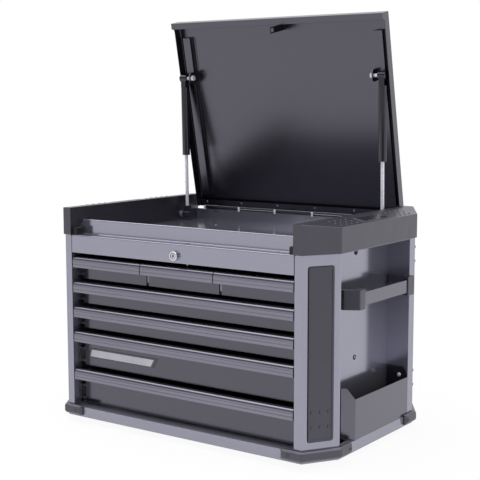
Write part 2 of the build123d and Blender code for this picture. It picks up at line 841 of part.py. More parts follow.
# Strut brackets under the lid, each a foot on the channel flange and an upright plate
ball_y = hinge_y - ball_reach
ball_z = hinge_z - ball_drop
bracket_x = channel_wall_inner - channel_sheet - bracket_sheet
bracket_top_z = lid_under_z - channel_sheet
bracket_bottom_z = ball_z - bracket_margin
with BuildPart() as strut_brackets:
    with BuildSketch(Plane.YZ.offset(bracket_x)):
        with Locations((ball_y, bracket_bottom_z)):
            Rectangle(
                bracket_length, bracket_top_z - bracket_bottom_z, align=(Align.CENTER, Align.MIN)
            )
        with Locations((ball_y, ball_z)):
            Circle(stud_radius + stud_clearance, mode=Mode.SUBTRACT)
    extrude(amount=bracket_sheet)
    chamfer(strut_brackets.edges().filter_by(Axis.X).group_by(Axis.Z)[0], bracket_bevel)
    with BuildSketch(Plane.XY.offset(bracket_top_z)):
        with Locations((channel_inner, ball_y)):
            Rectangle(
                bracket_x - channel_inner, bracket_length, align=(Align.MIN, Align.CENTER)
            )
    extrude(amount=-bracket_sheet)
    mirror(strut_brackets.part, about=Plane.YZ)
save("strut_brackets", opened(strut_brackets.part))

# Ball studs on the brackets: nut, stem through the plate and neck up to the socket
socket_face_x = strut_x - socket_width / 2
with BuildPart() as ball_studs:
    with BuildSketch(Plane.YZ.offset(bracket_x)):
        with Locations((ball_y, ball_z)):
            RegularPolygon(nut_width / 2, 6, major_radius=False)
    extrude(amount=-nut_height)
    with BuildSketch(Plane.YZ.offset(bracket_x)):
        with Locations((ball_y, ball_z)):
            Circle(stud_radius)
    extrude(amount=socket_face_x - stud_gap - bracket_x)
    mirror(ball_studs.part, about=Plane.YZ)
save("ball_studs", opened(ball_studs.part))

# Hinge: knuckles that alternate between the two leaves, on one pin
knuckle_pitch = 2 * hinge_half / knuckle_count
knuckle_length = knuckle_pitch - knuckle_gap
web = knuckle_radius + knuckle_gap


def hinge_leaf(first, shift, reach):
    """Leaf that hangs below the pin, with every second knuckle; shift is its middle behind the pin."""
    with BuildPart() as hinge:
        for index in range(first, knuckle_count, 2):
            with BuildSketch(Plane.YZ.offset(index * knuckle_pitch - hinge_half + knuckle_gap / 2)):
                with Locations((hinge_y, hinge_z)):
                    Circle(knuckle_radius)
                with Locations((hinge_y + shift, hinge_z - web / 2)):
                    Rectangle(leaf, web)
            extrude(amount=knuckle_length)
        with BuildSketch(Plane.YZ.offset(-hinge_half)):
            with Locations((hinge_y + shift, hinge_z - (web + reach) / 2)):
                Rectangle(leaf, reach - web)
        extrude(amount=2 * hinge_half)
    return hinge.part


def pin_outline(radius):
    """Round outline of the hinge pin or its bore, at the left end of the hinge."""
    with BuildSketch(Plane.YZ.offset(-hinge_half)) as outline:
        with Locations((hinge_y, hinge_z)):
            Circle(radius)
    return outline.sketch


with BuildPart() as hinge_lower_leaf:
    add(hinge_leaf(0, 0, lower_leaf_height))
    extrude(pin_outline(pin_radius), amount=2 * hinge_half - knuckle_gap)
with BuildPart() as hinge_upper_leaf:
    # With the lid shut, the lid leaf lies flat under the rear return
    add(hinge_leaf(1, leaf / 2 - leaf_rise, rear_return).rotate(hinge_axis, -90))
    extrude(pin_outline(pin_radius + pin_clearance), amount=2 * hinge_half, mode=Mode.SUBTRACT)
save("hinge_lower_leaf", hinge_lower_leaf.part)
save("hinge_upper_leaf", opened(hinge_upper_leaf.part))

# Gas struts: built upright over the lower ball, then leaned to the open upper ball
foot_y = hinge_y - foot_reach
foot_z = hinge_z - foot_drop
turn = radians(lid_open)
open_ball_y = hinge_y - ball_reach * cos(turn) - ball_drop * sin(turn)
open_ball_z = hinge_z + ball_reach * sin(turn) - ball_drop * cos(turn)
open_length = hypot(open_ball_y - foot_y, open_ball_z - foot_z)
closed_length = hypot(ball_y - foot_y, ball_z - foot_z)
open_lean = degrees(atan2(foot_y - open_ball_y, open_ball_z - foot_z))
closed_lean = degrees(atan2(foot_y - ball_y, ball_z - foot_z))
strut_axis = Axis((strut_x, foot_y, foot_z), (1, 0, 0))
print("strut stroke", open_length - closed_length, "swing", closed_lean - open_lean, "lean", open_lean)


def leaned(part):
    """Lean an upright strut piece forward to where the open lid holds it."""
    return part.rotate(strut_axis, open_lean)


def strut_circle(height, radius):
    """Round outline square to the strut, at a height above the lower ball."""
    with BuildSketch(Plane.XY.offset(foot_z + height)) as outline:
        with Locations((strut_x, foot_y)):
            Circle(radius)
    return outline.sketch


def neck_outline(height):
    """Square outline of a socket's neck, at a height above the lower ball."""
    with BuildSketch(Plane.XY.offset(foot_z + height)) as outline:
        with Locations((strut_x, foot_y)):
            Rectangle(socket_neck, socket_neck)
    return outline.sketch


def barrel_circle(height):
    """Round outline of a socket's cross barrel, at a height above the lower ball."""
    with BuildSketch(Plane.YZ.offset(strut_x - socket_width / 2)) as outline:
        with Locations((foot_y, foot_z + height)):
            Circle(socket_radius)
    return outline.sketch


with BuildPart() as rod_socket:
    extrude(barrel_circle(0), amount=socket_width)
    extrude(neck_outline(0), amount=socket_length)
    with BuildSketch(Plane.YZ.offset(strut_x + socket_width / 2)):
        with Locations((foot_y, foot_z)):
            Circle(stud_radius + stud_clearance)
    extrude(amount=-(stud_depth + stud_gap), mode=Mode.SUBTRACT)
save_pair("strut_socket", leaned(rod_socket.part))

piston_z = tube_start + piston_rise
with BuildPart() as strut_rod:
    extrude(strut_circle(socket_length, rod_radius), amount=piston_z - socket_length)
    extrude(strut_circle(piston_z, tube_bore - piston_clearance), amount=piston_length)
save_pair("strut_rod", leaned(strut_rod.part))

with BuildPart() as strut_cylinder:
    extrude(strut_circle(tube_start, tube_radius), amount=tube_end - tube_start)
    gland_bore = strut_circle(tube_start, rod_radius + rod_clearance)
    extrude(gland_bore, amount=gland_length, mode=Mode.SUBTRACT)
    bore_length = tube_end - tube_cap - tube_start - gland_length
    extrude(strut_circle(tube_start + gland_length, tube_bore), amount=bore_length, mode=Mode.SUBTRACT)
with BuildPart() as tube_socket:
    extrude(barrel_circle(open_length), amount=socket_width)
    extrude(neck_outline(tube_end), amount=open_length - tube_end)
with BuildPart() as strut_tube:
    add(strut_cylinder.part)
    add(tube_socket.part)
save_pair("strut_tube", leaned(strut_tube.part))

# Lower strut studs on the inner walls of the trims
stud_tip_x = strut_x + socket_width / 2 - stud_depth
with BuildPart() as strut_studs:
    with BuildSketch(Plane.YZ.offset(trim_inner_x)):
        with Locations((foot_y, foot_z)):
            Circle(stud_flange)
    extrude(amount=-stud_flange_thickness)
    with BuildSketch(Plane.YZ.offset(stud_tip_x)):
        with Locations((foot_y, foot_z)):
            Circle(stud_radius)
    extrude(amount=trim_inner_x - stud_tip_x)
    mirror(strut_studs.part, about=Plane.YZ)
save("strut_studs", strut_studs.part)

# Side handles: a flat bar held by a slanted front arm and a rear plate
handle_z = base_z + handle_level
bar_out_x = side_half + handle_bar_out
bar_in_x = bar_out_x - handle_bar_thickness
grip_out_x = bar_out_x + grip_wall
grip_in_x = grip_out_x - arm_thickness
arm_y = pillar_back_y + arm_gap
arm_end_y = arm_y + arm_run + arm_end
lug_y = rear_pillar_y - plate_thickness - lug_ahead
bar_start_y = arm_end_y - bar_seat
bar_end_y = lug_y + bar_seat


def bar_outline(grow):
    """Section of the handle bar, grown on all sides."""
    with Locations(((bar_in_x + bar_out_x) / 2, handle_z)):
        Rectangle(handle_bar_thickness + 2 * grow, handle_bar_height + 2 * grow)


with BuildPart() as handle_bar:
    with BuildSketch(xz_plane(bar_start_y)):
        bar_outline(0)
    extrude(amount=bar_start_y - bar_end_y)
save_pair("handle_bar", handle_bar.part)

arm_path = [
    (wall_x, arm_y),
    (wall_x + arm_stand, arm_y),
    (grip_out_x, arm_y + arm_run),
    (grip_out_x, arm_end_y),
]
plate_path = [
    (wall_x + plate_inset, rear_pillar_y),
    (wall_x + plate_inset, rear_pillar_y - plate_thickness),
    (grip_in_x, rear_pillar_y - plate_thickness),
    (grip_in_x, lug_y),
    (grip_out_x, lug_y),
    (grip_out_x, rear_pillar_y + lug_behind),
    (side_half, rear_pillar_y + lug_behind),
    (side_half, rear_pillar_y),
]
with BuildPart() as front_arm:
    with BuildSketch(Plane.XY.offset(handle_z - grip_height / 2)):
        with BuildLine():
            FilletPolyline(*arm_path, radius=arm_radius)
            offset(amount=arm_thickness, side=Side.LEFT, kind=Kind.INTERSECTION)
        make_face()
    extrude(amount=grip_height)
    with BuildSketch(xz_plane(arm_end_y)):
        bar_outline(bar_clearance)
    extrude(amount=bar_seat, mode=Mode.SUBTRACT)
with BuildPart() as rear_plate:
    with BuildSketch(Plane.XY.offset(handle_z - grip_height / 2)):
        Polygon(*plate_path, align=None)
    extrude(amount=grip_height)
    proud_edges = rear_plate.edges().filter_by(Axis.Z).group_by(Axis.X)[-1]
    fillet(proud_edges, arm_radius / 2)
    with BuildSketch(xz_plane(lug_y)):
        bar_outline(bar_clearance)
    extrude(amount=-bar_seat, mode=Mode.SUBTRACT)
with BuildPart() as handle_brackets:
    add(front_arm.part)
    add(rear_plate.part)
    mirror(handle_brackets.part, about=Plane.YZ)
save("handle_brackets", handle_brackets.part)

# Side bin on the right: one folded strip round its floor
bin_front_y = pillar_back_y + bin_gap
bin_corner_y = bin_front_y + bin_facet_run
bin_bend_x = side_half - bin_facet_in
bin_side_z = plinth_top_z + bin_height
bin_path = [
    (wall_x, bin_front_y),
    (bin_bend_x, bin_front_y),
    (side_half, bin_corner_y),
    (side_half, rear_pillar_y),
    (wall_x, rear_pillar_y),
]
with BuildPart() as side_bin:
    with BuildSketch(Plane.XY.offset(plinth_top_z)):
        with BuildLine():
            Polyline(*bin_path)
            offset(amount=bin_sheet, side=Side.LEFT, kind=Kind.INTERSECTION)
        make_face()
    extrude(amount=bin_end_height)
    # The side panel is lower than the ends, which are cut down to meet it
    with BuildSketch(Plane.YZ.offset(bin_bend_x)):
        with BuildLine():
            Polyline(
                (bin_corner_y - bin_facet_run * bin_flat_share, plinth_top_z + bin_end_height),
                (bin_corner_y, bin_side_z),
                (rear_pillar_y - bin_sheet, bin_side_z),
                (rear_pillar_y - bin_sheet, plinth_top_z + bin_end_height),
                close=True,
            )
        make_face()
    extrude(amount=recess_depth, mode=Mode.SUBTRACT)
    with BuildSketch(xz_plane(rear_pillar_y)):
        Polygon(
            (side_half, plinth_top_z + bin_end_height),
            (side_half - bin_cut_in, plinth_top_z + bin_end_height),
            (side_half, plinth_top_z + bin_end_height - bin_cut_down),
            align=None,
        )
    extrude(amount=bin_sheet, mode=Mode.SUBTRACT)
    with BuildSketch(Plane.XY.offset(plinth_top_z)):
        Polygon(*bin_path, align=None)
    extrude(amount=bin_sheet)
save("side_bin", side_bin.part)
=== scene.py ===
"""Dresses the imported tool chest: finishes, small fittings, studio light and camera."""

import json
import logging
import math
from dataclasses import dataclass, replace
from enum import Enum
from typing import Sequence

import bmesh
import bpy
from mathutils import Matrix, Vector

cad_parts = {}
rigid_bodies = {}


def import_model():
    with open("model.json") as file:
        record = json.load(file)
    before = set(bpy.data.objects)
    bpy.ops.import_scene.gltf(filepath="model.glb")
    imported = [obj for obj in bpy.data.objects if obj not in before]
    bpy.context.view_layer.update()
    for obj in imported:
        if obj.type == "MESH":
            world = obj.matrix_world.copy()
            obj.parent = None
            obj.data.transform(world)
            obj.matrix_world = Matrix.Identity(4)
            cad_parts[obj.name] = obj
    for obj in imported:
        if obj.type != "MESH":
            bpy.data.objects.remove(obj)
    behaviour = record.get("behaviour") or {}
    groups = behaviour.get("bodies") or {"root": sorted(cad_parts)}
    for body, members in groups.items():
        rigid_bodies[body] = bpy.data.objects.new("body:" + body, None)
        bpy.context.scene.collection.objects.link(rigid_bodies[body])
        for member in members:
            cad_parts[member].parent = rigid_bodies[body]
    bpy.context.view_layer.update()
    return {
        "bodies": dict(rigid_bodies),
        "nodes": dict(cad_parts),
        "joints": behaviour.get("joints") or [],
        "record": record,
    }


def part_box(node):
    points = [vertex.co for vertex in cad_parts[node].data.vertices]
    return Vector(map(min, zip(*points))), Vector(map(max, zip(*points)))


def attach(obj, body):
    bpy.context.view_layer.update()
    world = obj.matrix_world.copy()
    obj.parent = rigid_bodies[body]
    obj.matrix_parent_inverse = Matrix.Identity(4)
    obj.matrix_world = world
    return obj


LOG = logging.getLogger("tool_chest")
MM = 0.001

Colour = tuple[float, float, float]
Pair = tuple[float, float]
Point = tuple[float, float, float]
Place = tuple[Point, Point]
Socket = bpy.types.NodeSocket

SIDES = ("left", "right")
TO_RIGHT = (1.0, 0.0, 0.0)
TO_FRONT = (0.0, -1.0, 0.0)
TO_BACK = (0.0, 1.0, 0.0)
TO_TOP = (0.0, 0.0, 1.0)

SCREEN_TOP = 255
NOISE_ENDS = (0.3, 0.7)
WHOLE = (0.0, 1.0)
PLAIN_RAYS = ("Is Camera Ray", "Is Transmission Ray")
SHOWN_RAYS = ("Is Camera Ray", "Is Transmission Ray", "Is Glossy Ray")


class Slot(Enum):
    """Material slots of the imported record."""

    GREY_PAINT = "grey_paint"
    BLACK_PAINT = "black_paint"
    DRAWER_PAINT = "drawer_paint"
    DARK_PAINT = "dark_paint"
    BLACK_PLASTIC = "black_plastic"
    BLACK_RUBBER = "black_rubber"
    PULL_ALLOY = "pull_alloy"
    CHROME = "chrome"
    ZINC_STEEL = "zinc_steel"


class Head(Enum):
    """Shapes of a small fastener's head."""

    RIVET = "rivet"
    CROSS_SCREW = "cross_screw"
    BUTTON = "button"


class Corner(Enum):
    """Cut corners of the right side: 1 keeps the front's place and -1 mirrors it to the rear."""

    FRONT = 1
    REAR = -1


def linear(colour: Colour) -> tuple[float, float, float, float]:
    """Turn a screen colour into the linear colour that a shader takes.

    Args:
        colour: Red, green and blue from 0 to 255.

    Returns:
        Linear red, green, blue and an alpha of 1.
    """
    toe_end, toe_slope, lift, power = 0.04045, 12.92, 0.055, 2.4
    red, green, blue = (
        share / toe_slope if share <= toe_end else ((share + lift) / (1 + lift)) ** power
        for share in (level / SCREEN_TOP for level in colour)
    )
    return red, green, blue, 1.0


@dataclass(frozen=True)
class Grain:
    """A pattern over a surface: cycles in a metre, finer octaves and scale along each axis."""

    scale: float
    detail: float = 0.0
    stretch: Point = (1.0, 1.0, 1.0)


class TreeBench:
    """Adds and joins the nodes of one node tree."""

    def __init__(self, tree: bpy.types.NodeTree) -> None:
        """Keep the tree.

        Args:
            tree: Node tree to work on.
        """
        self.tree = tree

    def add(self, kind: str, **sockets: object) -> bpy.types.Node:
        """Add a node and set its input sockets.

        Args:
            kind: Blender's type name of the node.
            **sockets: Values by socket name, with _ for a space.

        Returns:
            The new node.
        """
        node = self.tree.nodes.new(kind)
        for name, value in sockets.items():
            node.inputs[name.replace("_", " ")].default_value = value
        return node

    def join(self, source: Socket, target: Socket) -> None:
        """Link one socket to another."""
        self.tree.links.new(source, target)

    def vector_math(self, kind: str, vector: Socket, other: Point | None = None) -> bpy.types.Node:
        """Add a vector sum.

        Args:
            kind: Blender's name of the sum.
            vector: Vector socket it works on.
            other: Second vector, where the sum takes one.

        Returns:
            The node.
        """
        node = self.add("ShaderNodeVectorMath")
        node.operation = kind
        self.join(vector, node.inputs[0])
        if other is not None:
            node.inputs[1].default_value = other
        return node

    def value_math(self, kind: str, first: Socket, second: Socket) -> Socket:
        """Add a sum of two values.

        Args:
            kind: Blender's name of the sum.
            first: First value socket.
            second: Second value socket.

        Returns:
            The value socket.
        """
        node = self.add("ShaderNodeMath")
        node.operation = kind
        self.join(first, node.inputs[0])
        self.join(second, node.inputs[1])
        return node.outputs["Value"]

    def span(self, value: Socket, source: Pair, target: Pair) -> Socket:
        """Map a value from one range to another, held at the ends.

        Args:
            value: Value socket.
            source: Range that comes in.
            target: Range that goes out.

        Returns:
            The mapped value socket.
        """
        node = self.add(
            "ShaderNodeMapRange",
            From_Min=source[0], From_Max=source[1], To_Min=target[0], To_Max=target[1],
        )
        self.join(value, node.inputs["Value"])
        return node.outputs["Result"]

    def rays(self, names: Sequence[str]) -> Socket:
        """Give 1 for some kinds of ray and 0 for the others.

        Args:
            names: Outputs of the light path node.

        Returns:
            The value socket.
        """
        path = self.add("ShaderNodeLightPath")
        value = path.outputs[names[0]]
        for name in names[1:]:
            value = self.value_math("MAXIMUM", value, path.outputs[name])
        return value


class MaterialBench(TreeBench):
    """Adds and joins the nodes of one material."""

    def __init__(self, name: str) -> None:
        """Make an empty node material.

        Args:
            name: Name of the material.
        """
        self.material = bpy.data.materials.new(name)
        self.material.use_nodes = True
        super().__init__(self.material.node_tree)
        self.shader = self.tree.nodes["Principled BSDF"]

    def coordinates(self, stretch: Point) -> Socket:
        """Give the piece's own coordinates, scaled along each axis.

        Args:
            stretch: Scale along X, Y and Z.

        Returns:
            The vector socket.
        """
        place = self.add("ShaderNodeTexCoord")
        mapping = self.add("ShaderNodeMapping", Scale=stretch)
        self.join(place.outputs["Object"], mapping.inputs["Vector"])
        return mapping.outputs["Vector"]

    def noise(self, grain: Grain) -> Socket:
        """Give a noise value over the surface, mostly within NOISE_ENDS.

        Args:
            grain: The noise's pattern.

        Returns:
            The value socket.
        """
        node = self.add("ShaderNodeTexNoise", Scale=grain.scale, Detail=grain.detail)
        self.join(self.coordinates(grain.stretch), node.inputs["Vector"])
        return node.outputs["Fac"]

    def cells(self, grain: Grain) -> Socket:
        """Give the distance from the middle of small cells over the surface.

        Args:
            grain: The cells' pattern.

        Returns:
            The value socket.
        """
        node = self.add("ShaderNodeTexVoronoi", Scale=grain.scale)
        self.join(self.coordinates(grain.stretch), node.inputs["Vector"])
        return node.outputs["Distance"]

    def tint(self, value: Socket, dark: Colour, light: Colour) -> None:
        """Colour the shader between two shades by a noise value.

        Args:
            value: Noise socket.
            dark: Screen colour at the low end.
            light: Screen colour at the high end.
        """
        ramp = self.add("ShaderNodeValToRGB")
        for stop, end, shade in zip(ramp.color_ramp.elements, NOISE_ENDS, (dark, light)):
            stop.position = end
            stop.color = linear(shade)
        self.join(value, ramp.inputs["Fac"])
        self.join(ramp.outputs["Color"], self.shader.inputs["Base Color"])

    def bump(self, height: Socket, strength: float, distance: float) -> None:
        """Raise the surface by a height value.

        Args:
            height: Height socket.
            strength: Share of the bump that shows.
            distance: Height in metres.
        """
        node = self.add("ShaderNodeBump", Strength=strength, Distance=distance)
        self.join(height, node.inputs["Height"])
        self.join(node.outputs["Normal"], self.shader.inputs["Normal"])


@dataclass(frozen=True)
class Finish:
    """A surface finish: its shades, gloss and fine relief, with the relief's height in metres."""

    name: str
    slot: Slot
    dark: Colour
    light: Colour
    rough: Pair
    metallic: float = 0.0
    ior: float = 1.5
    sheen: Colour = (1.0, 1.0, 1.0)
    mottle: Grain = Grain(14.0, 3.0)
    wear: Grain = Grain(45.0, 4.0)
    relief: Grain = Grain(700.0, 2.0)
    relief_share: float = 0.05
    relief_height: float = 0.0002

    def height(self, bench: MaterialBench) -> Socket:
        """Give the height of the fine relief."""
        return bench.noise(self.relief)

    def material(self) -> bpy.types.Material:
        """Make the finish's material.

        Returns:
            The node material.
        """
        bench = MaterialBench(self.name)
        sockets = bench.shader.inputs
        sockets["Metallic"].default_value = self.metallic
        sockets["IOR"].default_value = self.ior
        sockets["Specular Tint"].default_value = (*self.sheen, 1.0)
        bench.tint(bench.noise(self.mottle), self.dark, self.light)
        bench.join(bench.span(bench.noise(self.wear), NOISE_ENDS, self.rough), sockets["Roughness"])
        bench.bump(self.height(bench), self.relief_share, self.relief_height)
        return bench.material


@dataclass(frozen=True)
class PowderCoat(Finish):
    """Baked powder paint with a faint, even orange peel."""

    relief_share: float = 0.03


@dataclass(frozen=True)
class MouldedPlastic(Finish):
    """Moulded plastic with a spark-eroded grain."""

    relief: Grain = Grain(900.0)
    relief_share: float = 0.08

    def height(self, bench: MaterialBench) -> Socket:
        """Give the leather-like cells of a textured mould."""
        return bench.cells(self.relief)


@dataclass(frozen=True)
class DrawnAlloy(Finish):
    """Dark anodised extrusion with shades and die lines along its length."""

    mottle: Grain = Grain(60.0, 3.0, (0.06, 4.0, 4.0))
    relief: Grain = Grain(500.0, 2.0, (0.02, 1.0, 1.0))


@dataclass(frozen=True)
class PlatedMetal(Finish):
    """Plated or polished metal with faint handling marks."""

    relief: Grain = Grain(350.0, 5.0, (1.0, 1.0, 0.2))
    relief_height: float = 0.0001


COOL = (0.86, 0.83, 1.0)
GREY_PAINT = PowderCoat(
    "grey_powder_coat", Slot.GREY_PAINT, dark=(152, 152, 167), light=(154, 154, 169),
    rough=(0.13, 0.155), metallic=0.78)
# Lighter-rendering copy of the grey paint for the base: the same paint with less metal and so more
# diffuse colour, painted light on the plinth ledge.
LIT_GREY_PAINT = replace(GREY_PAINT, name="grey_powder_coat_lit_copy", metallic=0.4)
DARK_PAINT = PowderCoat(
    "dark_powder_coat", Slot.DARK_PAINT, dark=(19, 18, 22), light=(23, 22, 26),
    rough=(0.18, 0.22), ior=2.36, sheen=COOL)
BAR_PAINT = replace(DARK_PAINT, name="bar_powder_coat", ior=2.6)
DRAWER_PAINT = PowderCoat(
    "drawer_powder_coat", Slot.DRAWER_PAINT, dark=(12, 12, 15), light=(15, 14, 18),
    rough=(0.16, 0.19), ior=2.05, sheen=COOL)
BLACK_PAINT = PowderCoat(
    "black_powder_coat", Slot.BLACK_PAINT, dark=(9, 9, 12), light=(12, 12, 15),
    rough=(0.23, 0.26), ior=2.1, sheen=COOL)
TUBE_PAINT = PowderCoat(
    "tube_gloss_paint", Slot.BLACK_PAINT, dark=(6, 6, 8), light=(9, 9, 11),
    rough=(0.08, 0.11), ior=1.7, sheen=COOL)
BLACK_PLASTIC = MouldedPlastic(
    "black_moulding", Slot.BLACK_PLASTIC, dark=(21, 20, 23), light=(26, 25, 28),
    rough=(0.36, 0.42), ior=2.0, sheen=COOL)
INSERT_PLASTIC = MouldedPlastic(
    "insert_moulding", Slot.BLACK_PLASTIC, dark=(18, 17, 20), light=(22, 21, 24),
    rough=(0.36, 0.42), ior=1.95, sheen=COOL)
BLACK_RUBBER = MouldedPlastic(
    "black_rubber", Slot.BLACK_RUBBER, dark=(15, 14, 16), light=(19, 18, 21),
    rough=(0.55, 0.65), relief_share=0.2)
PULL_ALLOY = DrawnAlloy(
    "pull_anodised", Slot.PULL_ALLOY, dark=(124, 122, 134), light=(134, 132, 145),
    rough=(0.15, 0.19), metallic=0.9)
# Bright metal with painted shine: a near-white diffuse colour with little metal stands for the chrome
# reflections of the rods, ball studs, hinge clips and bin screw.
SHINE_PAINTED_STEEL = PlatedMetal(
    "steel_with_painted_shine", Slot.CHROME, dark=(228, 228, 238), light=(236, 236, 246),
    rough=(0.25, 0.3), metallic=0.25)
CHROME = PlatedMetal(
    "bright_chrome", Slot.CHROME, dark=(205, 205, 212), light=(222, 222, 228),
    rough=(0.08, 0.14), metallic=1.0)
ZINC = PlatedMetal(
    "zinc_plate", Slot.ZINC_STEEL, dark=(176, 176, 183), light=(194, 194, 201),
    rough=(0.28, 0.36), metallic=0.7)


@dataclass(frozen=True)
class Edge:
    """An eased edge: its width in mm and the number of faces across it."""

    width: float
    steps: int = 2


AS_CUT = Edge(0.0)


class Dresser:
    """Gives finishes to nodes and pieces and hands each piece to its body, sizes in mm."""

    WELD_REACH = 0.01
    SHARP_ANGLE = math.radians(35)

    def __init__(self, frame: dict) -> None:
        """Keep the loaded frame.
        """
        self.nodes: dict[str, bpy.types.Object] = frame["nodes"]
        self.made: dict[str, bpy.types.Material] = {}

    def coat(self, obj: bpy.types.Object, finish: Finish) -> None:
        """Put a finish on an object, with one material for all that have it.

        Args:
            obj: Node or piece.
            finish: Finish to show.
        """
        if finish.name not in self.made:
            self.made[finish.name] = finish.material()
        obj.data.materials.clear()
        obj.data.materials.append(self.made[finish.name])

    def node(self, name: str, finish: Finish, edge: Edge) -> None:
        """Put a finish on a CAD node and ease its sharp edges.

        Args:
            name: Name of the node.
            finish: Finish to show.
            edge: Eased edge, or AS_CUT for none.
        """
        obj = self.nodes[name]
        self.coat(obj, finish)
        if edge is AS_CUT:
            return
        weld = obj.modifiers.new("weld", "WELD")
        weld.merge_threshold = self.WELD_REACH * MM
        bevel = obj.modifiers.new("edge", "BEVEL")
        bevel.width = edge.width * MM
        bevel.segments = edge.steps
        bevel.limit_method = "ANGLE"
        bevel.angle_limit = self.SHARP_ANGLE
        shade = obj.modifiers.new("shade", "WEIGHTED_NORMAL")
        shade.keep_sharp = True

    def piece(self, obj: bpy.types.Object, finish: Finish, body: str) -> None:
        """Put a finish on a new piece and let it ride on a body.

        Args:
            obj: The piece, in place.
            finish: Finish to show.
            body: CAD body that carries it.
        """
        self.coat(obj, finish)
        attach(obj, body)
        LOG.info("piece %s rides on %s", obj.name, body)


def mesh_object(name: str, mesh_parts: bmesh.types.BMesh) -> bpy.types.Object:
    """Turn a bmesh into a linked object.

    Args:
        name: Name of the piece.
        mesh_parts: Finished bmesh, freed here.

    Returns:
        The new object.
    """
    bmesh.ops.recalc_face_normals(mesh_parts, faces=mesh_parts.faces)
    mesh = bpy.data.meshes.new(name)
    mesh_parts.to_mesh(mesh)
    mesh_parts.free()
    obj = bpy.data.objects.new(name, mesh)
    bpy.context.scene.collection.objects.link(obj)
    return obj


def facing(place: Place) -> Matrix:
    """Give the matrix that stands a head or a collar on a surface.

    Args:
        place: Point in mm and outward direction.

    Returns:
        The matrix, in metres.
    """
    point, outward = place
    turn = Vector(TO_TOP).rotation_difference(Vector(outward).normalized())
    return Matrix.Translation(Vector(point) * MM) @ turn.to_matrix().to_4x4()


def both_sides(places: Sequence[Place]) -> list[Place]:
    """Give places on the right side and their mirror images on the left."""
    mirrored = [((-p[0], p[1], p[2]), (-n[0], n[1], n[2])) for p, n in places]
    return list(places) + mirrored


def add_rings(
    parts: bmesh.types.BMesh,
    rings: Sequence[Sequence[Point]],
    place: Matrix,
    smooth: bool = True,
    hollow: bool = False,
) -> None:
    """Add a stack of rings, ended by a face at both ends or joined back on itself.

    Args:
        parts: Bmesh to add to.
        rings: Rings of equal length in mm, from base to top.
        place: Matrix from the rings' own frame to metres.
        smooth: Whether the sides are shaded smooth.
        hollow: Whether the last ring joins the first one, which leaves a hole.
    """
    loops = [[parts.verts.new(place @ (Vector(p) * MM)) for p in ring] for ring in rings]
    count = len(loops[0])
    pairs = list(zip(loops, loops[1:]))
    if hollow:
        pairs.append((loops[-1], loops[0]))
    for low, high in pairs:
        for i in range(count):
            after = (i + 1) % count
            face = parts.faces.new((low[i], low[after], high[after], high[i]))
            face.smooth = smooth
    if not hollow:
        parts.faces.new(list(reversed(loops[0])))
        parts.faces.new(loops[-1])


def circle(radius: float, height: float, count: int) -> list[Point]:
    """Give the points of a level circle.

    Args:
        radius: Radius in mm.
        height: Height in mm.
        count: Number of points.

    Returns:
        The points in mm.
    """
    steps = [2 * math.pi * i / count for i in range(count)]
    return [(radius * math.cos(a), radius * math.sin(a), height) for a in steps]


def cross_ring(reach: float, half_width: float, height: float, count: int) -> list[Point]:
    """Give the points of a cross-shaped recess.

    Args:
        reach: Length of an arm in mm.
        half_width: Half the width of an arm in mm.
        height: Height in mm.
        count: Number of points, a multiple of 8.

    Returns:
        The points in mm.
    """
    least = 1e-6
    points = []
    for x, y, _ in circle(1.0, height, count):
        c, s = max(abs(x), least), max(abs(y), least)
        radius = max(min(reach / c, half_width / s), min(reach / s, half_width / c))
        points.append((radius * x, radius * y, height))
    return points


def upright_frame(size: Pair, radius: float, outward: Point) -> list[Point]:
    """Give the outline of an upright rounded rectangle for facing().

    Args:
        size: Width and height in mm.
        radius: Corner radius in mm.
        outward: Level outward direction of the surface, of length 1.

    Returns:
        Points in mm, in the surface's own frame.
    """
    quarter = math.pi / 2
    corner_steps = 5
    reach = [side / 2 - radius for side in size]
    points = []
    for corner in range(4):
        middle = (corner + 1 / 2) * quarter
        for step in range(corner_steps + 1):
            angle = (corner + step / corner_steps) * quarter
            along = math.copysign(reach[0], math.cos(middle)) + radius * math.cos(angle)
            up = math.copysign(reach[1], math.sin(middle)) + radius * math.sin(angle)
            across = (-outward[1] * along, outward[0] * along)
            points.append((across[0] - outward[0] * up, across[1] - outward[1] * up, 0.0))
    return points


@dataclass(frozen=True)
class Fastener:
    """The head of a small fastener, sizes in mm, its profile in shares of radius and height."""

    head: Head
    radius: float
    height: float

    POINTS = 24
    SINK = 0.15
    RIM_SHARE = 0.3
    DOME_SHARES = {
        Head.RIVET: ((0.86, 0.68), (0.6, 0.9), (0.25, 1.0)),
        Head.BUTTON: ((0.93, 0.75), (0.8, 0.95), (0.6, 1.0)),
        Head.CROSS_SCREW: ((0.88, 0.75), (0.7, 1.0)),
    }
    RECESS_SHARES = ((0.55, 0.14, 1.0), (0.42, 0.1, 0.35))

    def rings(self) -> list[list[Point]]:
        """Give the rings of the head.

        Returns:
            Rings from the base to the top, in mm.
        """
        profile = ((1.0, self.RIM_SHARE), *self.DOME_SHARES[self.head])
        rings = [circle(self.radius, -self.SINK, self.POINTS)]
        rings += [circle(self.radius * r, self.height * h, self.POINTS) for r, h in profile]
        if self.head is Head.CROSS_SCREW:
            rings += [
                cross_ring(reach * self.radius, half * self.radius, h * self.height, self.POINTS)
                for reach, half, h in self.RECESS_SHARES
            ]
        return rings

    def heads(self, name: str, places: Sequence[Place]) -> bpy.types.Object:
        """Build a set of these heads as one piece.

        Args:
            name: Name of the piece.
            places: Point and outward direction of each head, in mm.

        Returns:
            The piece.
        """
        parts = bmesh.new()
        rings = self.rings()
        for place in places:
            add_rings(parts, rings, facing(place))
        return mesh_object(name, parts)


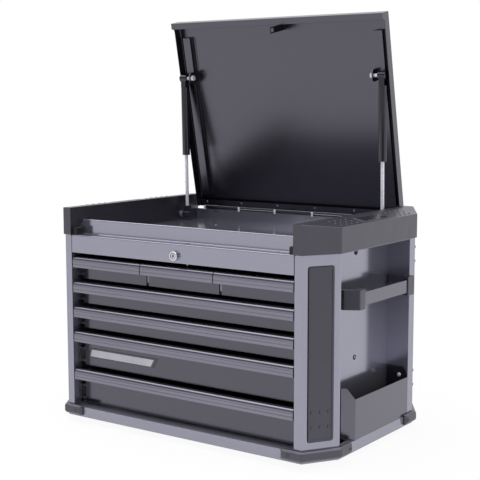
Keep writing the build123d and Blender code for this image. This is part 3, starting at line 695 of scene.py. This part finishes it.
@dataclass(frozen=True)
class Plate:
    """A thin plate that stands on a surface: its thickness and eased edge in mm."""

    thickness: float
    edge: float

    SINK = 0.1

    def build(self, name: str, outline: Sequence[Point], outward: Point) -> bpy.types.Object:
        """Build the plate.

        Args:
            name: Name of the piece.
            outline: Corners on the surface in mm, in order.
            outward: Direction off the surface.

        Returns:
            The piece.
        """
        normal = Vector(outward).normalized()
        middle = sum((Vector(p) for p in outline), Vector()) / len(outline)
        arms = [(Vector(p) - middle).normalized() * math.sqrt(2) for p in outline]
        profile = ((0.0, -self.SINK), (0.0, self.thickness - self.edge), (self.edge, self.thickness))
        rings = [
            [Vector(p) - arm * inset + normal * height for p, arm in zip(outline, arms)]
            for inset, height in profile
        ]
        parts = bmesh.new()
        add_rings(parts, rings, Matrix(), smooth=False)
        return mesh_object(name, parts)


def joined(name: str, pieces: Sequence[bpy.types.Object]) -> bpy.types.Object:
    """Join pieces into one.

    Args:
        name: Name of the whole.
        pieces: Pieces to join, which are used up.

    Returns:
        The whole.
    """
    parts = bmesh.new()
    for piece in pieces:
        parts.from_mesh(piece.data)
        bpy.data.objects.remove(piece, do_unlink=True)
    return mesh_object(name, parts)


def collar(
    name: str, outer: Sequence[Point], inner: Sequence[Point], rise: float, place: Place
) -> bpy.types.Object:
    """Build a thin collar round a hole or a panel.

    Args:
        name: Name of the piece.
        outer: Points of the outer edge in mm, in the surface's own frame.
        inner: As many points of the inner edge.
        rise: Height of the collar in mm.
        place: Middle of the collar and outward direction.

    Returns:
        The piece.
    """
    raised = [[(x, y, z + rise) for x, y, z in edge] for edge in (outer, inner)]
    parts = bmesh.new()
    add_rings(parts, (outer, *raised, inner), facing(place), smooth=False, hollow=True)
    return mesh_object(name, parts)


class SubAssembly:
    """A sub-assembly of the chest, which is dressed and gets its small fittings."""

    def dress(self, dresser: Dresser) -> None:
        """Put the finishes on its nodes."""
        raise NotImplementedError

    def build(self, dresser: Dresser) -> None:
        """Build its small fittings."""
        raise NotImplementedError


@dataclass
class Cabinet(SubAssembly):
    """Body of the chest with its pillars, trims, inserts and bumpers, sizes in mm."""

    side_half: float = 345.0
    corner_in: float = 42.5
    corner_run: float = 66.5
    front_y: float = -221.5
    sheet_edge: Edge = Edge(0.7, 3)
    pan_edge: Edge = Edge(0.6, 3)
    divider_edge: Edge = Edge(0.4)
    trim_edge: Edge = Edge(0.8)
    insert_edge: Edge = Edge(0.5)
    bumper_edge: Edge = Edge(5.5, 5)
    foot_edge: Edge = Edge(1.0)
    buffer_edge: Edge = Edge(0.8)
    insert_face: float = 1.7
    insert_size: Pair = (53.0, 336.0)
    insert_radius: float = 4.0
    insert_share: float = 0.5
    insert_middle: float = 222.5
    # Width and rise of the dark band round each insert: painted shade for the shadow in the gap.
    shade_band: float = 1.3
    shade_band_rise: float = 0.3
    pip: Fastener = Fastener(Head.BUTTON, 3.7, 1.6)
    pip_levels: tuple[float, ...] = (111.0, 82.0)
    pip_shares: tuple[float, ...] = (0.265, 0.5, 0.727)
    rear_screw: Fastener = Fastener(Head.CROSS_SCREW, 3.6, 2.8)
    rear_levels: tuple[float, ...] = (391.0, 361.0, 124.0, 93.0)
    rear_share: float = 0.8
    bumper_screw: Fastener = Fastener(Head.CROSS_SCREW, 4.6, 1.2)
    bumper_end: Point = (276.6, 230.5, 27.5)
    bumper_side: Point = (354.0, 123.0, 28.0)
    grommet: Fastener = Fastener(Head.BUTTON, 5.6, 1.8)
    grommet_point: Point = (295.0, -7.6, 395.5)
    plug: Fastener = Fastener(Head.BUTTON, 5.4, 1.0)
    plug_pin: Fastener = Fastener(Head.RIVET, 2.4, 1.8)
    plug_point: Point = (295.0, -8.9, 180.0)
    tray_rivet: Fastener = Fastener(Head.RIVET, 2.2, 0.9)
    tray_rivet_point: Point = (140.0, 104.7, 413.0)
    sill_half: float = 284.0
    sill_run: Pair = (-209.0, -180.0)
    sill_sheet: float = 1.5
    sill_lift: float = 0.05
    sill_edge: float = 0.02
    slope_start: Pair = (315.8, 468.65)
    slope_fall: float = 0.1736
    dot: Fastener = Fastener(Head.RIVET, 2.1, 1.6)
    dot_columns: tuple[float, ...] = (313.0, 326.0, 339.0)
    dot_runs: tuple[float, ...] = (-143.0, 77.5)
    dot_pitch: float = 20.0
    dot_count: int = 4
    trim_plate: Plate = Plate(1.0, 0.6)
    trim_plate_sides: Pair = (316.5, 340.5)
    trim_plate_ends: Pair = (-56.0, 45.0)

    def dress(self, dresser: Dresser) -> None:
        """Put the finishes on the body's nodes.

        Args:
            dresser: Gives the finishes and the bodies.
        """
        for side in SIDES:
            for node in ("front_pillar", "rear_pillar", "side_wall"):
                dresser.node(f"{node}_{side}", GREY_PAINT, self.sheet_edge)
            dresser.node(f"top_trim_{side}", BLACK_PLASTIC, self.trim_edge)
        # The base pan takes the lighter-rendering copy of the grey paint, painted light on its ledge.
        dresser.node("base_pan", LIT_GREY_PAINT, self.pan_edge)
        for node in ("back_panel", "tray_floor"):
            dresser.node(node, GREY_PAINT, self.pan_edge)
        dresser.node("lock_rail", GREY_PAINT, AS_CUT)
        dresser.node("drawer_dividers", BLACK_PAINT, self.divider_edge)
        dresser.node("pillar_inserts", INSERT_PLASTIC, self.insert_edge)
        dresser.node("corner_bumpers", BLACK_PLASTIC, self.bumper_edge)
        dresser.node("feet", BLACK_RUBBER, self.foot_edge)
        dresser.node("lid_buffers", BLACK_RUBBER, self.buffer_edge)
        dresser.node("cabinet_rails", ZINC, AS_CUT)

    def corner_point(self, share: float, level: float, corner: Corner, lift: float = 0.0) -> Place:
        """Give a point on a cut corner of the right side.

        Args:
            share: Share of the way from the front or back plane to the side plane.
            level: Height in mm.
            corner: Front or rear corner.
            lift: Height above the corner's face in mm.

        Returns:
            Point and outward direction.
        """
        end = corner.value
        normal = Vector((self.corner_run, -end * self.corner_in, 0)).normalized()
        x = self.side_half - self.corner_in + share * self.corner_in
        y = end * (self.front_y + share * self.corner_run)
        face = Vector((x, y, level)) + normal * lift
        return (face.x, face.y, face.z), (normal.x, normal.y, normal.z)

    def slope_point(self, x: float, y: float) -> Point:
        """Give a point on the sloping top of the right trim."""
        return x, y, self.slope_start[1] - (x - self.slope_start[0]) * self.slope_fall

    def build(self, dresser: Dresser) -> None:
        """Build the small fittings of the body.

        Args:
            dresser: Gives the finishes and the bodies.
        """
        self.build_inserts(dresser)
        self.build_screws(dresser)
        self.build_walls(dresser)
        self.build_sill(dresser)
        self.build_trims(dresser)

    def build_inserts(self, dresser: Dresser) -> None:
        """Build the raised pips on each insert and a dark band round it, painted shade for the shadow
        in the gap round the insert.

        Args:
            dresser: Gives the finishes and the bodies.
        """
        pips = both_sides([
            self.corner_point(share, level, Corner.FRONT, self.insert_face)
            for level in self.pip_levels
            for share in self.pip_shares
        ])
        dresser.piece(self.pip.heads("insert_pips", pips), INSERT_PLASTIC, "chest")
        wide = (self.insert_size[0] + 2 * self.shade_band, self.insert_size[1] + 2 * self.shade_band)
        right = self.corner_point(self.insert_share, self.insert_middle, Corner.FRONT)
        shade_bands = []
        for place in both_sides([right]):
            outer = upright_frame(wide, self.insert_radius + self.shade_band, place[1])
            inner = upright_frame(self.insert_size, self.insert_radius, place[1])
            shade_bands.append(collar("insert_shade_band", outer, inner, self.shade_band_rise, place))
        # The bands are painted shade: a dark strip in the black rubber finish standing for the shadow
        # in the gap round each insert.
        dresser.piece(joined("insert_shade_bands", shade_bands), BLACK_RUBBER, "chest")

    def build_screws(self, dresser: Dresser) -> None:
        """Build the screws of the rear pillars and of the bumpers.

        Args:
            dresser: Gives the finishes and the bodies.
        """
        rear = both_sides([
            self.corner_point(self.rear_share, level, Corner.REAR) for level in self.rear_levels
        ])
        dresser.piece(self.rear_screw.heads("rear_screws", rear), BLACK_PAINT, "chest")
        x, y, z = self.bumper_end
        ends = [((x, -y, z), TO_FRONT), ((x, y, z), TO_BACK)]
        x, y, z = self.bumper_side
        sides = [((x, -y, z), TO_RIGHT), ((x, y, z), TO_RIGHT)]
        bumpers = both_sides(ends + sides)
        dresser.piece(self.bumper_screw.heads("bumper_screws", bumpers), BLACK_PLASTIC, "chest")

    def build_walls(self, dresser: Dresser) -> None:
        """Build the grommets and plugs of the side walls and the rivets of the tray.

        Args:
            dresser: Gives the finishes and the bodies.
        """
        grommets = both_sides([(self.grommet_point, TO_RIGHT)])
        dresser.piece(self.grommet.heads("wall_grommets", grommets), BLACK_RUBBER, "chest")
        plugs = both_sides([(self.plug_point, TO_RIGHT)])
        dresser.piece(self.plug.heads("wall_plugs", plugs), BLACK_RUBBER, "chest")
        dresser.piece(self.plug_pin.heads("wall_plug_pins", plugs), ZINC, "chest")
        rivets = both_sides([(self.tray_rivet_point, TO_TOP)])
        dresser.piece(self.tray_rivet.heads("tray_rivets", rivets), ZINC, "chest")

    def build_sill(self, dresser: Dresser) -> None:
        """Build the sill that carries the base's front flange on under the bottom drawer.

        Args:
            dresser: Gives the finishes and the bodies.
        """
        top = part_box("base_pan")[1].z / MM
        level = top - self.sill_sheet
        half, (front, back) = self.sill_half, self.sill_run
        front_edge = [(-half, front, level), (half, front, level)]
        back_edge = [(half, back, level), (-half, back, level)]
        plate = Plate(self.sill_sheet + self.sill_lift, self.sill_edge)
        # The sill takes the base's lighter-rendering copy of the grey paint, painted light like the
        # base.
        dresser.piece(plate.build("front_sill", front_edge + back_edge, TO_TOP), LIT_GREY_PAINT, "chest")

    def build_trims(self, dresser: Dresser) -> None:
        """Build the raised dots and the bare plate on each top trim.

        Args:
            dresser: Gives the finishes and the bodies.
        """
        slope = (self.slope_fall, 0.0, 1.0)
        rows = [run + i * self.dot_pitch for run in self.dot_runs for i in range(self.dot_count)]
        dots = both_sides([(self.slope_point(x, y), slope) for x in self.dot_columns for y in rows])
        dresser.piece(self.dot.heads("trim_dots", dots), BLACK_PAINT, "chest")
        low, high = self.trim_plate_ends
        inner, outer = self.trim_plate_sides
        corners = ((inner, low), (outer, low), (outer, high), (inner, high))
        plates = []
        for sign in (1, -1):
            outline = [(sign * x, y, z) for x, y, z in (self.slope_point(*c) for c in corners)]
            plates.append(self.trim_plate.build("trim_plate", outline, (sign * slope[0], 0.0, 1.0)))
        dresser.piece(joined("trim_plates", plates), BLACK_PAINT, "chest")


@dataclass
class Drawers(SubAssembly):
    """Seven drawers, each with a pull of its own width, sizes in mm."""

    names: tuple[str, ...] = (
        "drawer_2", "drawer_3", "drawer_4", "drawer_5",
        "drawer_top_left", "drawer_top_middle", "drawer_top_right",
    )
    edge: Edge = Edge(0.3)
    badge: tuple[Pair, ...] = ((-258.0, 162.5), (-69.0, 162.5), (-81.0, 141.5), (-264.0, 141.5))
    badge_plate: Plate = Plate(1.2, 0.4)
    badge_field: tuple[Pair, ...] = (
        (-254.5, 159.5), (-79.0, 159.5), (-87.5, 144.0), (-259.0, 144.0),
    )
    badge_field_plate: Plate = Plate(1.6, 0.4)

    def dress(self, dresser: Dresser) -> None:
        """Put the finishes on the drawers' nodes.

        Args:
            dresser: Gives the finishes and the bodies.
        """
        for name in self.names:
            dresser.node(f"{name}_pan", DRAWER_PAINT, self.edge)
            dresser.node(f"{name}_pull", PULL_ALLOY, self.edge)
            dresser.node(f"{name}_runners", ZINC, AS_CUT)

    def build(self, dresser: Dresser) -> None:
        """Build the bare badge on the fourth drawer: a dark plate with a plain bright field.

        Args:
            dresser: Gives the finishes and the bodies.
        """
        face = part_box("drawer_4_pan")[0].y / MM
        for name, outline, plate, finish in (
            ("front_badge", self.badge, self.badge_plate, BLACK_PLASTIC),
            ("front_badge_field", self.badge_field, self.badge_field_plate, ZINC),
        ):
            corners = [(x, face, z) for x, z in outline]
            dresser.piece(plate.build(name, corners, TO_FRONT), finish, "drawer_4")


@dataclass
class Lid(SubAssembly):
    """Lid with its hinge, struts and striker, sizes in mm."""

    pan_edge: Edge = Edge(0.5, 3)
    channel_edge: Edge = Edge(0.4)
    bracket_edge: Edge = Edge(0.3)
    strut_edge: Edge = Edge(0.5)
    lean: Point = (0.0, -0.98, -0.199)
    foot_rivet: Fastener = Fastener(Head.RIVET, 3.0, 2.2)
    foot_points: tuple[Point, ...] = (
        (269.2, 158.4, 820.6), (269.2, 192.5, 652.9), (269.2, 226.7, 484.9),
    )
    strip_rivet: Fastener = Fastener(Head.RIVET, 2.8, 2.2)
    strip_places: tuple[float, ...] = (-252.0, -149.0, -46.0, 57.0, 160.0, 252.0)
    strip_point: Pair = (221.05, 453.5)
    clip_plate: Plate = Plate(1.2, 0.8)
    clip_places: tuple[float, ...] = (-258.0, -154.8, -51.6, 51.6, 154.8, 258.0)
    clip_size: Pair = (5.4, 10.0)
    clip_drop: float = 2.0

    def dress(self, dresser: Dresser) -> None:
        """Put the finishes on the nodes of the lid, hinge and struts.

        Args:
            dresser: Gives the finishes and the bodies.
        """
        dresser.node("lid_pan", BLACK_PAINT, self.pan_edge)
        dresser.node("lid_channels", BLACK_PAINT, self.channel_edge)
        for node in ("hinge_lower_leaf", "hinge_upper_leaf"):
            dresser.node(node, BLACK_PAINT, AS_CUT)
        for node in ("strut_brackets", "striker"):
            dresser.node(node, BLACK_PAINT, self.bracket_edge)
        dresser.node("strut_studs", ZINC, AS_CUT)
        # Ball studs and, below, the strut rods take the steel with painted shine: near-white colour
        # standing for chrome reflections.
        dresser.node("ball_studs", SHINE_PAINTED_STEEL, AS_CUT)
        for side in SIDES:
            dresser.node(f"strut_tube_{side}", TUBE_PAINT, self.strut_edge)
            dresser.node(f"strut_rod_{side}", SHINE_PAINTED_STEEL, AS_CUT)
            dresser.node(f"strut_socket_{side}", BLACK_PLASTIC, self.strut_edge)

    def build(self, dresser: Dresser) -> None:
        """Build the rivets of the lid and the clips of its hinge.

        Args:
            dresser: Gives the finishes and the bodies.
        """
        feet = both_sides([(point, self.lean) for point in self.foot_points])
        dresser.piece(self.foot_rivet.heads("lid_rivets", feet), PULL_ALLOY, "lid")
        strip = [((x, *self.strip_point), self.lean) for x in self.strip_places]
        dresser.piece(self.strip_rivet.heads("hinge_rivets", strip), PULL_ALLOY, "lid")
        half, tall = self.clip_size[0] / 2, self.clip_size[1]
        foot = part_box("back_panel")[1].z / MM - self.clip_drop
        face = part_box("hinge_lower_leaf")[0].y / MM
        clips = []
        for x in self.clip_places:
            low = [(x - half, face, foot), (x + half, face, foot)]
            high = [(x + half, face, foot + tall), (x - half, face, foot + tall)]
            clips.append(self.clip_plate.build("hinge_clip", low + high, TO_FRONT))
        # The hinge clips are bright metal, their shine painted as a near-white colour.
        dresser.piece(joined("hinge_clips", clips), SHINE_PAINTED_STEEL, "chest")


@dataclass
class Lock(SubAssembly):
    """Cam lock in the band above the drawers, sizes in mm."""

    body_edge: Edge = Edge(1.2, 3)
    plug_edge: Edge = Edge(0.2)
    axis_z: float = 389.0
    # The dark ring round the plug and the dark diamond round the key slot are painted shade.
    ring: Pair = (6.7, 5.6)
    ring_points: int = 32
    keyway_outer: Pair = (2.4, 4.6)
    keyway_inner: Pair = (0.8, 3.0)
    rise: float = 0.25

    def dress(self, dresser: Dresser) -> None:
        """Put the finishes on the lock's nodes.

        Args:
            dresser: Gives the finishes and the bodies.
        """
        dresser.node("lock_body", CHROME, self.body_edge)
        dresser.node("lock_plug", CHROME, self.plug_edge)
        dresser.node("lock_cam", ZINC, self.plug_edge)

    def keyway(self) -> tuple[list[Point], list[Point]]:
        """Give the diamond round the key slot and the slot itself, with as many points each.

        Returns:
            Outer and inner edge in mm, in the plug's own frame.
        """
        wide, tall = self.keyway_outer
        half, reach = self.keyway_inner
        diamond = ((0.0, tall), (wide / 2, tall / 2), (wide, 0.0), (wide / 2, -tall / 2))
        slot = ((0.0, reach), (half, reach), (half, 0.0), (half, -reach))
        edges = [
            [(sign * x, sign * y, 0.0) for sign in (1, -1) for x, y in outline]
            for outline in (diamond, slot)
        ]
        return edges[0], edges[1]

    def build(self, dresser: Dresser) -> None:
        """Build a dark ring round the plug and a dark diamond round its key slot, painted shade for
        the gap round the plug and for the shade in the keyway.

        Args:
            dresser: Gives the finishes and the bodies.
        """
        bezel = (0.0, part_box("lock_body")[0].y / MM, self.axis_z)
        edges = [circle(radius, 0.0, self.ring_points) for radius in self.ring]
        # Dark ring of painted shade for the gap between the bezel and the plug.
        dresser.piece(collar("lock_gap_shade", *edges, self.rise, (bezel, TO_FRONT)), BLACK_PAINT, "chest")
        plug = (0.0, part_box("lock_plug")[0].y / MM, self.axis_z)
        # Dark diamond of painted shade for the shade in the keyway.
        keyway_shade = collar("keyway_shade", *self.keyway(), self.rise, (plug, TO_FRONT))
        dresser.piece(keyway_shade, BLACK_PAINT, "lock")


@dataclass
class SideFittings(SubAssembly):
    """Handles on both sides and the bin on the right, sizes in mm."""

    bar_edge: Edge = Edge(1.0)
    bracket_edge: Edge = Edge(1.6, 3)
    bin_edge: Edge = Edge(0.5)
    handle_screw: Fastener = Fastener(Head.CROSS_SCREW, 3.2, 1.4)
    handle_screw_point: Point = (304.5, 124.5, 318.6)
    bin_screw: Fastener = Fastener(Head.RIVET, 4.4, 3.4)
    bin_screw_point: Point = (325.4, 130.0, 120.4)

    def dress(self, dresser: Dresser) -> None:
        """Put the finishes on the handles and the bin.

        Args:
            dresser: Gives the finishes and the bodies.
        """
        for side in SIDES:
            dresser.node(f"handle_bar_{side}", BAR_PAINT, self.bar_edge)
        dresser.node("handle_brackets", BLACK_PLASTIC, self.bracket_edge)
        dresser.node("side_bin", DARK_PAINT, self.bin_edge)

    def build(self, dresser: Dresser) -> None:
        """Build the screws of the handles and the bin.

        Args:
            dresser: Gives the finishes and the bodies.
        """
        handles = both_sides([(self.handle_screw_point, TO_FRONT)])
        dresser.piece(self.handle_screw.heads("handle_screws", handles), BLACK_PLASTIC, "chest")
        place = (self.bin_screw_point, TO_FRONT)
        # The bin screw is bright metal, its shine painted as a near-white colour.
        dresser.piece(self.bin_screw.heads("bin_screw", [place]), SHINE_PAINTED_STEEL, "chest")


@dataclass(frozen=True)
class Lamp:
    """A round soft lamp: place and size in metres, power in watts."""

    name: str
    place: Point
    size: float
    power: float

    def build(self, aim: Point) -> None:
        """Set the lamp, which gloss doesn't mirror.

        Args:
            aim: Point in metres that the lamp looks at.
        """
        light = bpy.data.lights.new(self.name, "AREA")
        light.shape = "DISK"
        light.size = self.size
        light.energy = self.power
        obj = bpy.data.objects.new(self.name, light)
        obj.location = self.place
        obj.visible_glossy = False
        heading = Vector(aim) - Vector(self.place)
        obj.rotation_euler = heading.to_track_quat("-Z", "Y").to_euler()
        bpy.context.scene.collection.objects.link(obj)


@dataclass
class Studio:
    """Floor, soft light and camera, in metres, but the camera's place, lens and sensor in mm."""

    camera_place: Point = (1399.7, -1963.0, 697.2)
    forward: Point = (-0.57531, 0.80864, -0.12293)
    right: Point = (0.81489, 0.57962, -0.00094)
    down: Point = (0.07049, -0.10072, -0.99241)
    lens: float = 83.97
    sensor: float = 36.0
    sight: float = 100.0
    floor_half: float = 9.0
    floor_shades: tuple[Colour, Colour] = ((250, 250, 250), (253, 253, 253))
    floor_grain: Grain = Grain(3.0, 2.0)
    floor_rough: float = 0.9
    glow_level: Pair = (0.93, 1.0)
    glow_reach: Pair = (0.5, 1.5)
    dim_side: Point = (0.58, -0.81, 0.0)
    dim_spread: Pair = (0.77, 0.92)
    dim_reach: Pair = (0.8, 1.6)
    dim_floor: float = 0.25
    sky_level: float = 0.6
    sky_front: float = 0.12
    sky_spread: Pair = (-0.65, -0.1)
    sky_high: float = 2.2
    sky_rise: Pair = (0.56, 0.7)
    sky_low: float = 0.65
    sky_fall: Pair = (0.2, 0.34)
    lamps: tuple[Lamp, ...] = (
        Lamp("key_lamp", (-1.7, -0.3, 2.6), 1.6, 22.0),
        Lamp("side_lamp", (2.9, 0.7, 1.2), 2.0, 9.0),
        Lamp("top_lamp", (0.2, -0.4, 3.2), 2.4, 45.0),
    )
    aim: Point = (0.0, 0.0, 0.35)

    def floor_material(self) -> bpy.types.Material:
        """Make the floor's white, which keeps the shadow and dims in front for reflections.

        Returns:
            The node material.
        """
        bench = MaterialBench("studio_white")
        bench.tint(bench.noise(self.floor_grain), *self.floor_shades)
        bench.shader.inputs["Roughness"].default_value = self.floor_rough
        bench.shader.inputs["Specular IOR Level"].default_value = 0.0
        place = bench.add("ShaderNodeTexCoord").outputs["Object"]
        reach = bench.vector_math("LENGTH", place).outputs["Value"]
        heading = bench.vector_math("NORMALIZE", place).outputs["Vector"]
        front = bench.vector_math("DOT_PRODUCT", heading, self.dim_side).outputs["Value"]
        ahead = bench.span(front, self.dim_spread, WHOLE)
        away = bench.span(reach, self.dim_reach, WHOLE)
        level = bench.span(bench.value_math("MULTIPLY", ahead, away), WHOLE, (1.0, self.dim_floor))
        white = bench.value_math("MAXIMUM", bench.rays(PLAIN_RAYS), level)
        glow = bench.add("ShaderNodeEmission")
        bench.join(white, glow.inputs["Strength"])
        near = bench.span(reach, self.glow_reach, self.glow_level)
        share = bench.value_math("MULTIPLY", bench.rays(SHOWN_RAYS), near)
        blend = bench.add("ShaderNodeMixShader")
        bench.join(share, blend.inputs["Fac"])
        bench.join(bench.shader.outputs["BSDF"], blend.inputs[1])
        bench.join(glow.outputs["Emission"], blend.inputs[2])
        bench.join(blend.outputs["Shader"], bench.tree.nodes["Material Output"].inputs["Surface"])
        return bench.material

    def build_floor(self) -> None:
        """Lay the floor, white to the camera with the chest's shadow kept."""
        parts = bmesh.new()
        half = self.floor_half
        corners = ((-half, -half), (half, -half), (half, half), (-half, half))
        parts.faces.new([parts.verts.new((x, y, 0.0)) for x, y in corners])
        floor = mesh_object("studio_floor", parts)
        floor.data.materials.append(self.floor_material())

    def build_sky(self) -> None:
        """Make the world white to the camera, graded in reflections and softer as light."""
        world = bpy.data.worlds.new("studio_sky")
        bpy.context.scene.world = world
        world.use_nodes = True
        bench = TreeBench(world.node_tree)
        back = bench.tree.nodes["Background"]
        back.inputs["Color"].default_value = (1.0, 1.0, 1.0, 1.0)
        heading = bench.add("ShaderNodeTexCoord").outputs["Generated"]
        depth = bench.vector_math("DOT_PRODUCT", heading, TO_BACK).outputs["Value"]
        height = bench.vector_math("DOT_PRODUCT", heading, TO_TOP).outputs["Value"]
        level = bench.span(depth, self.sky_spread, (self.sky_front, 1.0))
        for reach, ends in (
            (self.sky_rise, (self.sky_front, self.sky_high)),
            (self.sky_fall, (self.sky_low, self.sky_front)),
        ):
            level = bench.value_math("MAXIMUM", level, bench.span(height, reach, ends))
        white = bench.value_math("MAXIMUM", bench.rays(PLAIN_RAYS), level)
        strength = bench.add("ShaderNodeMapRange", To_Min=self.sky_level)
        bench.join(bench.rays(SHOWN_RAYS), strength.inputs["Value"])
        bench.join(white, strength.inputs["To Max"])
        bench.join(strength.outputs["Result"], back.inputs["Strength"])

    def build_camera(self) -> None:
        """Set the camera at the photograph's angle."""
        data = bpy.data.cameras.new("photo_camera")
        data.sensor_width = self.sensor
        data.lens = self.lens
        data.clip_end = self.sight
        camera = bpy.data.objects.new("photo_camera", data)
        right, up, back = Vector(self.right), -Vector(self.down), -Vector(self.forward)
        turn = Matrix((right, up, back)).transposed().to_4x4()
        camera.matrix_world = Matrix.Translation(Vector(self.camera_place) * MM) @ turn
        bpy.context.scene.collection.objects.link(camera)
        bpy.context.scene.camera = camera

    def build(self) -> None:
        """Build the whole studio."""
        self.build_floor()
        self.build_sky()
        for lamp in self.lamps:
            lamp.build(self.aim)
        self.build_camera()
        bpy.context.scene.view_settings.view_transform = "Standard"


def clear_scene() -> None:
    """Remove the objects that Blender starts with."""
    for obj in list(bpy.data.objects):
        bpy.data.objects.remove(obj, do_unlink=True)


def main() -> None:
    """Load the frame, dress it, build the fittings and the studio."""
    logging.basicConfig(level=logging.INFO, format="%(name)s: %(message)s")
    clear_scene()
    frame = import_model()
    dresser = Dresser(frame)
    for part in (Cabinet(), Drawers(), Lid(), Lock(), SideFittings()):
        part.dress(dresser)
        part.build(dresser)
        LOG.info("%s is dressed", type(part).__name__)
    Studio().build()
    bpy.context.view_layer.update()


if __name__ == "__main__":
    main()
